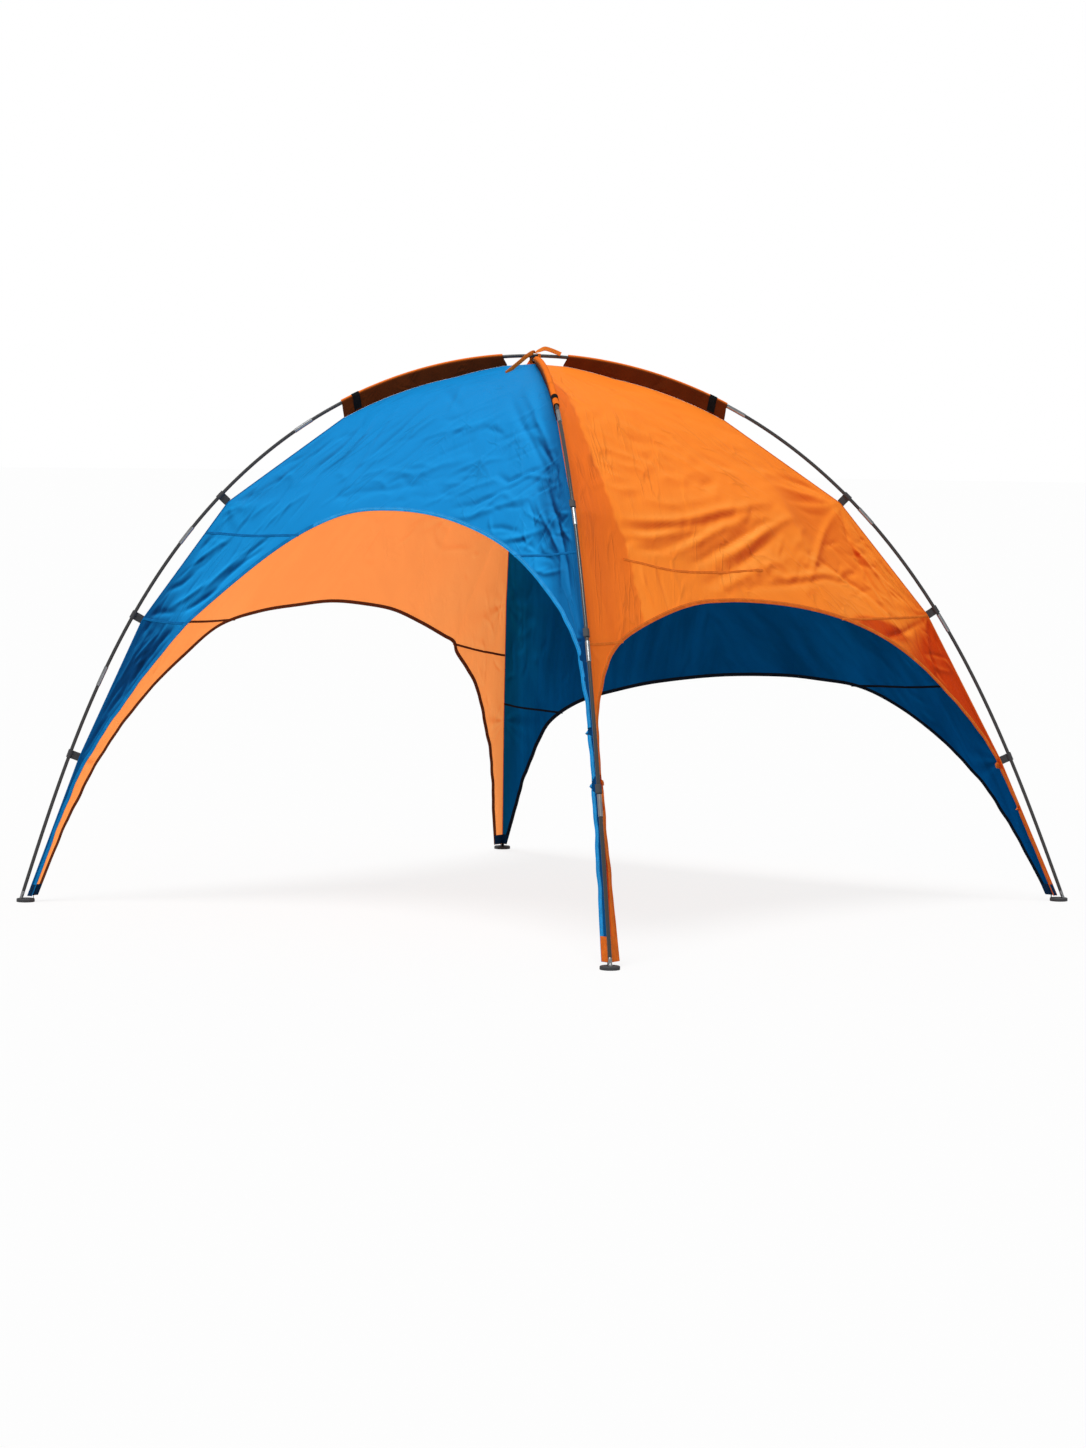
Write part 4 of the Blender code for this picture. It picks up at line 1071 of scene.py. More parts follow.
class PanelCloth:
    """The cloth of one panel, read by its place along the ridge and its share from ridge to arch."""

    arch_samples = 24
    corner_share = 0.22
    soft_until = (1.58, 1.74)
    edge_room = 0.03
    seam_room = 0.04
    seam_sag = 0.003
    seam_hold = 0.65
    band_waves = ((0.004, 61, 0), (0.003, 143, 1))
    leg_from = (0.75, 0.95)
    leg_above = (0.1, 0.3)
    ripple_rate = 31.0
    ripple_depth = 0.0022

    def __init__(self, plan: PanelPlan, left: Ridge, right: Ridge) -> None:
        """Work out the panel's ridge, arch and level lines."""
        self.plan = plan
        self.across, self.facing = np.array(plan.across), np.array(plan.facing)
        self.turn = np.sign(np.cross(self.across, UP) @ self.facing)
        self.left, self.right = left, right
        self.sides = [self.front_view(ridge.points[::-1]) for ridge in (left, right)]
        self.soft_sides = [self.softened(side) for side in self.sides]
        self.ridge = join(left.points[::-1], right.points[1:])
        self.outward = join(left.outward[::-1], right.outward[1:])
        self.slack = join(left.slack[::-1], right.slack[1:])
        lengths = arc_lengths(self.ridge)
        self.ridge_shares = lengths / lengths[-1]
        self.peak_share = self.ridge_shares[len(left.points) - 1]
        self.start_line = self.front_view(self.ridge)[:, :2]
        shares = smooth_line(plan.arch_shares, self.arch_samples)
        height = PLAN.cloth_bottom + np.clip(shares[:, 1], 0, 1) * (plan.arch_top - PLAN.cloth_bottom)
        low, high, _, _ = self.ends(height)
        across = (low + high) / 2 + shares[:, 0] * (high - low) / 2
        run = arc_lengths(columns(across, height))
        phase = run * self.ripple_rate
        ripple = np.sin(phase + plan.fold_field.seed) + 0.6 * np.sin(phase * 2.3)
        leg = smooth_step(np.abs(shares[:, 0]), *self.leg_from) * smooth_step(height, *self.leg_above)
        self.arch = columns(across + self.ripple_depth * ripple * leg, height)
        self.arch_peak = int(np.argmax(self.arch[:, 1]))

    def front_view(self, points: Array) -> Array:
        """Place across, height and place along the facing of each point."""
        return columns(points @ self.across, points[:, 2], points @ self.facing)

    def softened(self, side: Array, window: int = 61) -> Array:
        """A ridge line without its corners: the mean over a window of heights."""
        height = np.linspace(side[0, 1], side[-1, 1], 401)
        line = read_line(height, side[:, 1], side)
        kernel = np.hanning(window + 2)[1:-1]
        padded = np.pad(line, ((window // 2, window // 2), (0, 0)), "reflect", reflect_type="odd")
        return columns(*(np.convolve(axis, kernel / kernel.sum(), "valid") for axis in padded.T))

    def ends(self, height: Array, sides: list[Array] | None = None) -> tuple[Array, Array, Array, Array]:
        """Where level lines meet the ridges: left across, right across, left facing, right facing."""
        left, right = (read_line(height, side[:, 1], side) for side in sides or self.sides)
        return left[..., 0], right[..., 0], left[..., 2], right[..., 2]

    def smooth_points(self, place: Array) -> Array:
        """Points of the unfolded cloth: level lines from ridge to ridge, drawn in midway by a parabola.

        Away from the ridges the level lines end on the softened ridges, so no corner of a ridge runs on
        over the panel.
        """
        across, height = place[..., 0], place[..., 1]
        found = []
        for sides in (self.sides, self.soft_sides):
            left, right, left_facing, right_facing = self.ends(height, sides)
            width = np.maximum(right - left, PLAN.touch_gap)
            share = np.clip((across - left) / width, 0, 1)
            facing = left_facing + (right_facing - left_facing) * share
            found.append((share, facing - PLAN.sag_share * width / 2 * 4 * share * (1 - share)))
        (share, facing), (_, soft) = found
        inside = smooth_step(np.minimum(share, 1 - share), 0.0, self.corner_share)
        inside = inside * (1 - smooth_step(height, *self.soft_until))
        facing = facing + (soft - facing) * inside
        return across[..., None] * self.across + facing[..., None] * self.facing + height[..., None] * UP

    def normals(self, place: Array, step: float = 0.002) -> Array:
        """Outward directions of the unfolded cloth, from its slope across and down."""
        across, height = place[..., 0], place[..., 1]
        left, right, _, _ = self.ends(height)
        low = np.clip(across - step, left, np.maximum(right - step, left))
        wide, near, here, below = (
            self.smooth_points(columns(*pair))
            for pair in ((low + step, height), (low, height), (across, height), (across, height - step))
        )
        return unit(np.cross(wide - near, here - below)) * self.turn

    def flat(self, along: Array, down: Array) -> Array:
        """Front view of the places given by their share along the ridge and from ridge to arch."""
        lengths = arc_lengths(self.arch)
        start = read_line(along, self.ridge_shares, self.start_line)
        return start + (read_line(along, lengths / lengths[-1], self.arch) - start) * down[..., None]

    def anchors(self) -> Array:
        """Front view of the places where the cloth is held: the clips and the peak."""
        knots = [knot for ridge in (self.left, self.right) for knot in ridge.arm.knots()]
        return self.front_view(np.array([self.left.points[0], *knots]))[:, :2]

    def arch_at(self, on_left: bool, height: Array | float) -> Array:
        """Places across of one leg of the arch at given heights."""
        branch = self.arch[: self.arch_peak + 1] if on_left else self.arch[self.arch_peak :][::-1]
        return np.interp(height, branch[:, 1], branch[:, 0])

    def seam_paths(self) -> list[Array]:
        """Front view of every seam: the plan's own lines, and level ones across the legs."""
        paths = [smooth_line(path, 12) for path in self.plan.seams]
        for on_left, ridge_height, arch_height in self.plan.leg_seams:
            start = self.ends(np.array(ridge_height))[0 if on_left else 1]
            ends = np.array([[start, ridge_height], [self.arch_at(on_left, arch_height), arch_height]])
            share = np.linspace(0, 1, 40)
            sag = columns(0 * share, self.seam_sag * np.sin(pi * share))
            paths.append(ends[0] + (ends[1] - ends[0]) * share[:, None] - sag)
        return paths

    def points(self, along: Array, down: Array) -> Array:
        """Points of the folded cloth.

        Between two clips the cloth falls in by fold share * panel depth * slack * sin(pi * down). The fold
        field lies over that, and fades out toward the ridge, the arch and the seams.

        Args:
            along: share along the ridge, from the left foot to the right foot.
            down: share from the ridge to the arch.

        Returns:
            A point for each pair.
        """
        place = self.flat(along, down)
        top, step = np.zeros_like(down), 0.002
        start, stop = self.flat(along, top), self.flat(along, top + 1)
        slope = self.flat(along + step, top) - self.flat(along - step, top)
        depth = np.abs(np.cross(unit(slope), stop - start))
        sink = PLAN.fold_share * depth * np.interp(along, self.ridge_shares, self.slack) * np.sin(pi * down)
        rise = self.plan.fold_field.rise(place, self.anchors()) * (1 - self.bands(place, "calm"))
        hold = smooth_step(depth * down, 0.0, self.edge_room) * smooth_step(depth * (1 - down), 0.0, self.edge_room)
        for path in self.seam_paths():
            gap = np.linalg.norm(place[..., None, :] - path[::3], axis=-1).min(axis=-1)
            hold = hold * (1 - self.seam_hold + self.seam_hold * smooth_step(gap, 0.0, self.seam_room))
        return self.smooth_points(place) + self.normals(place) * (rise * hold - sink)[..., None]

    def bands(self, place: Array, value: str) -> Array:
        """Sum of a value of the tone bands at each place, and of the spots' amounts; the amounts are painted shade or
        light.
        """
        left, right, _, _ = self.ends(place[..., 1])
        found = np.zeros(place.shape[:-1])
        if value == "amount":
            found += sum(spot.tone(place) for spot in self.plan.tone_spots)
        for band in self.plan.tone_bands:
            gap = place[..., 0] - left if band.from_left else right - place[..., 0]
            width = np.interp(place[..., 1], band.heights, band.widths)
            wave = sum(rise * np.sin(place[..., 1] * rate + start) for rise, rate, start in self.band_waves)
            gap = gap - width - wave * np.clip(width / 0.1, 0, 1)
            inside = 1 - smooth_step(gap, -band.softness / 2, band.softness / 2)
            found += getattr(band, value) * inside
        return np.clip(found, -1, 2)

    def placed(self, place: Array, samples: int = 1600) -> tuple[Array, Array]:
        """Points and outward directions of the folded cloth at places in the front view.

        The line from ridge to arch that passes through a place is the one where the cross product of its
        direction with the way to the place is zero.

        Args:
            place: (across, height) of each place.
            samples: number of lines to look between.

        Returns:
            The points and the directions.
        """
        along = np.linspace(0, 1, samples)
        start = self.flat(along, np.zeros(samples))
        run, offset = self.flat(along, np.ones(samples)) - start, place[:, None] - start
        side = run[:, 0] * offset[..., 1] - run[:, 1] * offset[..., 0]
        down = np.sum(run * offset, axis=-1) / np.maximum(np.sum(run * run, axis=-1), 1e-12)
        turns = (side[:, :-1] * side[:, 1:] <= 0) & (down[:, :-1] > -0.05) & (down[:, :-1] < 1.05)
        rows, first = np.arange(len(place)), np.argmax(turns, axis=1)
        before, after = side[rows, first], side[rows, first + 1]
        share = before / np.where(np.abs(before - after) < 1e-15, 1, before - after)
        found_along = along[first] + share * (along[1] - along[0])
        found_down = down[rows, first] + share * (down[rows, first + 1] - down[rows, first])
        return self.points(found_along, np.clip(found_down, 0, 1)), self.normals(place)


@dataclass
class Canopy:
    """The four cloth panels with their hems, seams and corner patches."""

    plans: tuple[PanelPlan, ...]
    ridges: dict[str, Ridge]
    lines: int = 560
    rows: int = 84
    thickness: float = 0.0010
    mitre_reach: float = 0.012
    hem_width: float = 0.014
    hem_thickness: float = 0.0032
    hem_turn: float = 0.40
    hem_inner: float = 0.985
    hem_share: float = 0.45
    hem_least: float = 0.002
    seam_width: float = 0.010
    seam_thickness: float = 0.0032
    patch_lift: float = 0.0016
    patch_rows: int = 24
    patch_columns: int = 12
    patch_shares: Pair = (0.02, 0.98)
    blank_share: float = 0.62
    # How strongly fold flanks are painted: painted shade where they turn down, painted highlight where they turn up.
    fold_tone: float = 2.9
    plain_edge: float = 0.04
    hem_steps: int = 520
    seam_step: float = 0.006
    patch_swell: float = 0.0012
    front_patch: float = 0.100
    side_patch: float = 0.062

    def build(self) -> None:
        """Make every panel and what is sewn to it."""
        for plan in self.plans:
            cloth = PanelCloth(plan, self.ridges[plan.left], self.ridges[plan.right])
            trims = [self.hem(cloth), *self.seams(cloth), *self.patches(cloth)]
            self.panel(cloth)
        for name, ridge in self.ridges.items():
            self.ridge_welt(name, ridge)

    def panel(self, cloth: PanelCloth) -> None:
        """Make the sheet of one panel.

        Args:
            cloth: the panel's cloth.
        """
        plan = cloth.plan
        along = np.unique([*np.linspace(0, 1, self.lines), cloth.peak_share])
        grid = np.meshgrid(along, np.linspace(0, 1, self.rows), indexing="ij")
        outer, place = cloth.points(*grid), cloth.flat(*grid)
        normal = cloth.normals(place)
        outer[:, 0] = along_line(cloth.ridge, along) + self.ridge_shift(cloth, along)
        ridge_out = read_line(along, cloth.ridge_shares, cloth.outward)
        depth = np.linalg.norm(place - place[:, :1], axis=-1)
        turned_in = np.clip(depth / self.mitre_reach, 0, 1)[..., None]
        inner = outer - unit(ridge_out[:, None] * (1 - turned_in) + normal * turned_in) * self.thickness
        sheet_uv = columns(place[..., 0], running(np.linalg.norm(np.diff(outer, axis=1), axis=2)))
        uv = join(shell(sheet_uv, sheet_uv), sheet_uv[:, :1], axis=1)
        folded = unit(np.cross(*np.gradient(outer, axis=(0, 1))) + 1e-12)
        folded *= np.sign(np.sum(folded * normal, axis=-1, keepdims=True))
        # Painted shade and painted highlight: the tone darkens fold flanks that turn down from the smooth surface and
        # lightens those that turn up, over the painted shade of the bands and spots.
        tilt = (folded[..., 2] - normal[..., 2]) * np.clip(depth / self.plain_edge, 0, 1)
        tilt[:, 1:-1] = (tilt[:, :-2] + 2 * tilt[:, 1:-1] + tilt[:, 2:]) / 4
        band = cloth.bands(place, "amount")
        tone = np.clip(band - self.fold_tone * tilt * (1 - 0.5 * np.minimum(band, 1)), -1, 2)
        sides = np.repeat([0, 1], self.rows)
        skin = Skin(shell(outer, inner), uv=uv, slots=sides, tone=shell(tone, tone), sharp_angle=75)
        name = f"cloth_{plan.name}"
        piece = add_piece(name, skin, (plan.outside, plan.inside), f"canopy_{plan.name}")
        low, high, _, _ = cloth.ends(np.array(plan.arch_top))

    @staticmethod
    def ridge_shift(cloth: PanelCloth, along: Array) -> Array:
        """Half of the sewing gap, away from the pole's plane, for each place along the ridge."""
        shift = np.zeros((len(along), 3))
        for ridge, mask in ((cloth.left, along <= cloth.peak_share), (cloth.right, along >= cloth.peak_share)):
            side = ridge.arm.pole.side
            shift[mask] += side * np.sign(side @ cloth.facing) * PLAN.touch_gap / 2
        return shift

    def hem(self, cloth: PanelCloth) -> Object:
        """Bind the arch: a flat strip carried along the edge, folded round it."""
        along = np.linspace(0, 1, self.hem_steps)
        top, bottom, inside = np.zeros_like(along), np.ones_like(along), np.full_like(along, self.hem_inner)
        edge, place = cloth.points(along, bottom), cloth.flat(along, bottom)
        back = square_to(cloth.points(along, inside) - edge, unit(np.gradient(edge, axis=0)))
        depth = np.linalg.norm(cloth.flat(along, top) - place, axis=1)
        width = np.minimum(self.hem_width, self.hem_share * depth + self.hem_least)[:, None]
        middle = edge + back * (width / 2 - self.hem_thickness / 4)
        rings = carried(middle, back * width, cloth.normals(place), flat_profile(1.0, self.hem_thickness))
        plain = np.broadcast_to(along[:-1, None] < self.hem_turn, (len(rings) - 1, rings.shape[1]))
        finishes = (cloth.plan.hem, cloth.plan.leg_hem or cloth.plan.hem)
        skin = Skin(rings, slots=plain.astype(int))
        return add_piece(f"hem_{cloth.plan.name}", skin, finishes)

    def seams(self, cloth: PanelCloth) -> list[Object]:
        """Sew each seam: a strip that shows on both sides, with tape on the inner one."""
        made = []
        for number, path in enumerate(cloth.seam_paths(), 1):
            steps = max(12, int(arc_lengths(path)[-1] / self.seam_step))
            points, normal = cloth.placed(along_line(path, np.linspace(0, 1, steps)))
            along = unit(np.gradient(points, axis=0))
            sideways = unit(np.cross(normal, along))
            profile = flat_profile(self.seam_width, self.seam_thickness)
            rings = carried(points, sideways, unit(np.cross(along, sideways)), profile)
            name, finishes = f"seam_{cloth.plan.name}_{number}", (cloth.plan.seam, cloth.plan.tape)
            skin = Skin(rings, slots=self.side_slots(rings, points, normal))
            made.append(add_piece(name, skin, finishes))
        return made

    @staticmethod
    def side_slots(rings: Array, points: Array, normal: Array) -> Array:
        """0 for the faces of a strip on the cloth's outer side and 1 for those on its inner side."""
        middles = (rings + np.roll(rings, -1, axis=1)) / 2
        inner = np.sum((middles - points[:, None]) * normal[:, None], axis=2) < 0
        return inner[:-1].astype(int)

    def patches(self, cloth: PanelCloth) -> list[Object]:
        """Reinforce both corners: a doubled patch over the whole leg up to a level line."""
        made = []
        for on_left, arm_name in ((True, cloth.plan.left), (False, cloth.plan.right)):
            top = self.front_patch if arm_name == "front" else self.side_patch
            heights = np.linspace(PLAN.cloth_bottom + MILLIMETRE, top, self.patch_rows)
            ridge_at = cloth.ends(heights)[0 if on_left else 1]
            share = np.linspace(*self.patch_shares, self.patch_columns)
            across = ridge_at[:, None] + (cloth.arch_at(on_left, heights) - ridge_at)[:, None] * share
            place = columns(across, np.broadcast_to(heights[:, None], across.shape))
            points, normal = cloth.smooth_points(place), cloth.normals(place)
            swell = np.sin(pi * share)[None, :, None] * self.patch_swell
            outer = points + normal * (self.patch_lift + swell)
            inner = points - normal * (self.patch_lift + self.thickness)
            name = f"corner_patch_{cloth.plan.name}_{arm_name}"
            finish = ORANGE_PATCH if arm_name == "front" else NAVY_PATCH
            made.append(add_piece(name, Skin(shell(outer, inner)), (finish,)))
        return made

    @staticmethod
    def ridge_welt(name: str, ridge: Ridge) -> None:
        """Roll the two panels' edges together along the ridge, from the sleeve's end to the foot."""
        half_width, half_height, sink, sides = 0.0022, 0.0026, 0.0006, 10
        line, outward = ridge.points[ridge.loose_from - 1 :], ridge.outward[ridge.loose_from - 1 :]
        turn = np.arange(sides) * 2 * pi / sides
        profile = columns(half_width * np.cos(turn), half_height * np.sin(turn) - sink)
        side = np.broadcast_to(ridge.arm.pole.side, line.shape)
        finish = ORANGE_SEAM if name in ("right", "rear") else BLUE_SEAM
        add_piece(f"ridge_welt_{name}", Skin(carried(line, side, outward, profile)), (finish,))


@dataclass
class PoleSet:
    """Both poles: black sections, steel ferrules, turned tips and the elastic cords inside."""

    arms: dict[str, Arm]
    sides: int = 28
    step: float = 0.03
    cord_radius: float = 0.002
    cord_sides: int = 12
    tip_sides: int = 32
    groove: float = 0.0006
    groove_at: tuple[float, ...] = (0.006, 0.007, 0.0085, 0.0095)
    tip_edge: float = 0.001
    edge_break: float = 0.0006

    def build(self) -> None:
        """Make the pieces of both poles."""
        for letter, names in (("a", ("left", "right")), ("b", ("front", "rear"))):
            ends = [self.arms[name] for name in names]
            self.sections(letter, *ends)
            self.cord(letter, *ends)
        for arm in self.arms.values():
            self.tip(arm)

    def bore_loop(self, pole: BentPole, start: float, stop: float, outer: float, bore: float) -> Array:
        """Rings of a tube along the pole with broken edges: outside, end, bore, end."""
        slope = self.edge_break * min(1.0, (outer - bore) / 0.002)
        inside = np.linspace(start + slope, stop - slope, max(2, ceil((stop - start) / self.step)))
        stations = join([start], inside, [stop, stop], inside[::-1], [start])
        radii = np.repeat([outer - slope, outer, outer - slope, bore], [1, len(inside), 1, len(inside) + 2])
        return pole.rings(stations, radii, self.sides)

    def sections(self, letter: str, first: Arm, last: Arm) -> None:
        """Make the sections of one pole and the ferrule at the end of each but the last.

        Args:
            letter: the pole's letter.
            first: the arm where the sections are counted from.
            last: the arm where they end.
        """
        inset = PLAN.tip_length + PLAN.touch_gap
        joints = sorted([-joint for joint in first.joints()] + last.joints())
        bounds = [inset - first.length, *joints, last.length - inset]
        gap = PLAN.touch_gap / 2
        for number, (start, stop) in enumerate(zip(bounds, bounds[1:]), 1):
            rings = self.bore_loop(first.pole, start + gap, stop - gap, PLAN.pole_radius, PLAN.pole_bore / 2)
            skin, node = Skin(rings, closed=True), f"pole_{letter}_section_{number}"
            add_piece(f"section_{letter}_{number}", skin, (POLE_BLACK,), node)
            if number == len(bounds) - 1:
                continue
            half = PLAN.ferrule_length / 2
            rings = self.bore_loop(first.pole, stop - half, stop + half, PLAN.ferrule_radius, PLAN.pole_radius)
            add_piece(f"ferrule_{letter}_{number}", Skin(rings, closed=True), (STEEL,))

    def cord(self, letter: str, first: Arm, last: Arm) -> None:
        """Make the elastic cord that runs through the pole from spigot to spigot."""
        inset = PLAN.tip_length + PLAN.spigot_length + PLAN.touch_gap
        stations = np.linspace(inset - first.length, last.length - inset, 160)
        skin = Skin(first.pole.rings(stations, self.cord_radius, self.cord_sides))
        add_piece(f"elastic_{letter}", skin, (BLACK_CORD,), f"shock_cord_{letter}")

    def tip(self, arm: Arm) -> None:
        """Turn a metal tip about its axis: ball end, body with a groove, shoulder and spigot."""
        radius, length = PLAN.pole_radius, PLAN.tip_length
        angles = np.radians(np.linspace(-88, 0, 12))
        ball = columns(radius * np.cos(angles), radius * np.sin(angles))
        spigot = PLAN.pole_bore / 2 - PLAN.touch_gap
        low, end, edge = radius - self.groove, length + PLAN.spigot_length, self.tip_edge
        body = [*zip((radius, low, low, radius), self.groove_at), (radius, length - edge), (low, length)]
        body += [(spigot, length), (spigot, end - edge), (spigot - edge, end)]
        inner_end = arm.pole.at(arm.sign * (arm.length - end))
        axis = unit(inner_end - arm.foot)
        matrix = frame_matrix(arm.foot, unit(np.cross(arm.pole.side, axis)), axis)
        skin = Skin(moved(turned(join(ball, body), self.tip_sides), matrix))
        add_piece(f"tip_{arm.name}", skin, (STEEL,), f"pole_tip_{arm.name}")


@dataclass
class FootSet:
    """The four foot discs and the webbing tabs that hold the canopy's corners."""

    arms: dict[str, Arm]
    rounding: float = 0.003
    edge_break: float = 0.0008
    ring_dip: float = 0.0006
    top_ring: tuple[Pair, ...] = ((0.0085, 0), (0.0075, 1), (0.006, 1), (0.005, 0))
    middle_hole: float = 0.002
    socket_ease: float = 0.00165
    tab_width: float = 0.010
    tab_thickness: float = 0.002
    tab_inset: float = 0.0285
    tab_sink: float = 0.008
    tab_lap: float = 0.005
    tab_steps: int = 14
    sides: int = 72

    def build(self) -> None:
        """Make each foot and its tab."""
        for arm in self.arms.values():
            matrix = frame_matrix(arm.foot, arm.outboard, UP)
            self.disc(arm, matrix)
            self.tab(arm, matrix)

    def disc(self, arm: Arm, matrix: Array) -> None:
        """Make a disc: rings about the socket's axis that slide over to the disc's axis on the top.

        Ring k has the radius and height of the profile, and its centre is the socket's axis moved inboard
        by share * socket_outboard.
        """
        low = -PLAN.tip_height
        top = PLAN.foot_thickness + low
        floor = PLAN.socket_floor + low
        socket = PLAN.pole_radius + self.socket_ease
        radius = PLAN.foot_diameter / 2
        round_off, edge, dip = self.rounding, self.edge_break, self.ring_dip
        turn = np.linspace(0, pi / 2, 5)
        rim = [(radius + round_off * (sin(t) - 1), top + round_off * (cos(t) - 1), 1) for t in turn]
        profile = [(edge, floor, 0), (socket - dip, floor, 0), (socket, floor + dip, 0)]
        profile += [(socket, top - dip, 0), (socket + dip, top, 0), (socket + 2 * dip, top, 0)]
        profile += [(radius - inset, top - deep * dip, 1) for inset, deep in self.top_ring]
        profile += [*rim, (radius, low + edge, 1), (radius - edge, low, 1), (self.middle_hole, low, 1)]
        sizes = np.array(profile)
        rings = turned(sizes, self.sides)
        rings[..., 0] -= sizes[:, 2:] * PLAN.socket_outboard
        skin, node = Skin(moved(rings, matrix), sharp_angle=35), f"foot_{arm.name}"
        add_piece(f"disc_{arm.name}", skin, (FOOT_BLACK,), node, body=node)

    def tab(self, arm: Arm, matrix: Array) -> None:
        """Make the webbing tab, from just under the disc's top up past the cloth's corner."""
        x = -PLAN.socket_outboard - self.tab_inset
        top = PLAN.foot_thickness - PLAN.tip_height
        low, high = top - self.tab_sink, PLAN.cloth_bottom + self.tab_lap - PLAN.tip_height
        line = np.array([(x, 0, height) for height in np.linspace(low, high, self.tab_steps)])
        sideways, upwards = (np.broadcast_to(axis, line.shape) for axis in np.eye(3)[[1, 0]])
        rings = carried(line, sideways, upwards, flat_profile(self.tab_width, self.tab_thickness))
        skin, node = Skin(moved(rings, matrix)), f"foot_tab_{arm.name}"
        piece = add_piece(f"tab_{arm.name}", skin, (BLACK_WEBBING,), node, body=None)
        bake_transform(piece)


@dataclass
class ClipSet:
    """Twelve hook clips: a crook round the pole, open to one side, on a stem that holds the ridge."""

    arms: dict[str, Arm]
    lip: float = 0.010
    crook_steps: int = 26
    lip_steps: int = 6
    base_steps: int = 9
    bevel: float = 0.0007

    def outline(self) -> Array:
        """Outline across the pole: the pivot at the origin, the pole's line straight above it.

        The crook is two arcs about the pole's line, and its lips follow arcs about the pivot.
        """
        drop = PLAN.clip_pivot_drop
        inner = PLAN.pole_radius + PLAN.touch_gap
        outer = inner + PLAN.clip_wall
        half = PLAN.clip_wall / 2
        lip = self.lip / drop
        top, bottom = pi / 2, 1.5 * pi

        def arc(radius: float, start: float, stop: float, steps: int, centre: float = 0.0) -> Array:
            """Arc about a centre straight above the pivot, with its angles from the level."""
            turn = np.linspace(start, stop, steps)
            return columns(radius * np.cos(turn), centre + radius * np.sin(turn))

        def crook(radius: float, start: float, stop: float) -> Array:
            """Arc about the pole's line."""
            return arc(radius, start, stop, self.crook_steps, drop)

        def swing(radius: float, start: float, stop: float) -> Array:
            """Arc about the pivot, with its angles from straight up."""
            turn = np.linspace(start, stop, self.lip_steps)
            return radius * columns(np.sin(turn), np.cos(turn))

        return join(
            swing(drop + inner, lip, 0)[:-1],
            crook(inner, top, bottom),
            swing(drop - inner, 0, lip)[1:],
            swing(drop - outer, lip, asin(half / (drop - outer))),
            arc(half, 0, -pi, self.base_steps),
            crook(outer, bottom - asin(half / outer), top),
            swing(drop + outer, 0, lip)[1:],
        )

    def build(self) -> None:
        """Make the clips, each its own mesh in its own place."""
        outline = self.outline()
        half = PLAN.clip_length / 2
        for arm in self.arms.values():
            for number, distance in enumerate(arm.clips(), 1):
                matrix = arm.clip_matrix(distance)
                ends = [np.insert(outline, 0, x, axis=1) for x in (-half, half)]
                name, node = f"hook_{arm.name}_{number}", f"clip_{arm.name}_{number}"
                mesh = self.prism(name, moved(np.array(ends), matrix))
                piece = add_piece(name, mesh, (CLIP_BLACK,), node, body=node)
                edge = piece.modifiers.new("edge", "BEVEL")
                edge.width, edge.segments = self.bevel, 2
                edge.limit_method, edge.angle_limit = "ANGLE", radians(50)

    @staticmethod
    def prism(name: str, rings: Array) -> Mesh:
        """Prism between two outlines, with one face over each end."""
        count = rings.shape[1]
        k = np.arange(count)
        after = (k + 1) % count
        sides = columns(k, after, after + count, k + count)
        area = np.cross(rings[0], rings[0][after]).sum(axis=0) @ (rings[1, 0] - rings[0, 0])
        faces = [*sides.tolist(), k[::-1].tolist(), (k + count).tolist()]
        if area < 0:
            faces = [face[::-1] for face in faces]
        mesh = bpy.data.meshes.new(name)
        mesh.from_pydata(rings.reshape(-1, 3).tolist(), [], faces)
        mesh.shade_smooth()
        mesh.set_sharp_from_angle(angle=radians(35))
        return mesh


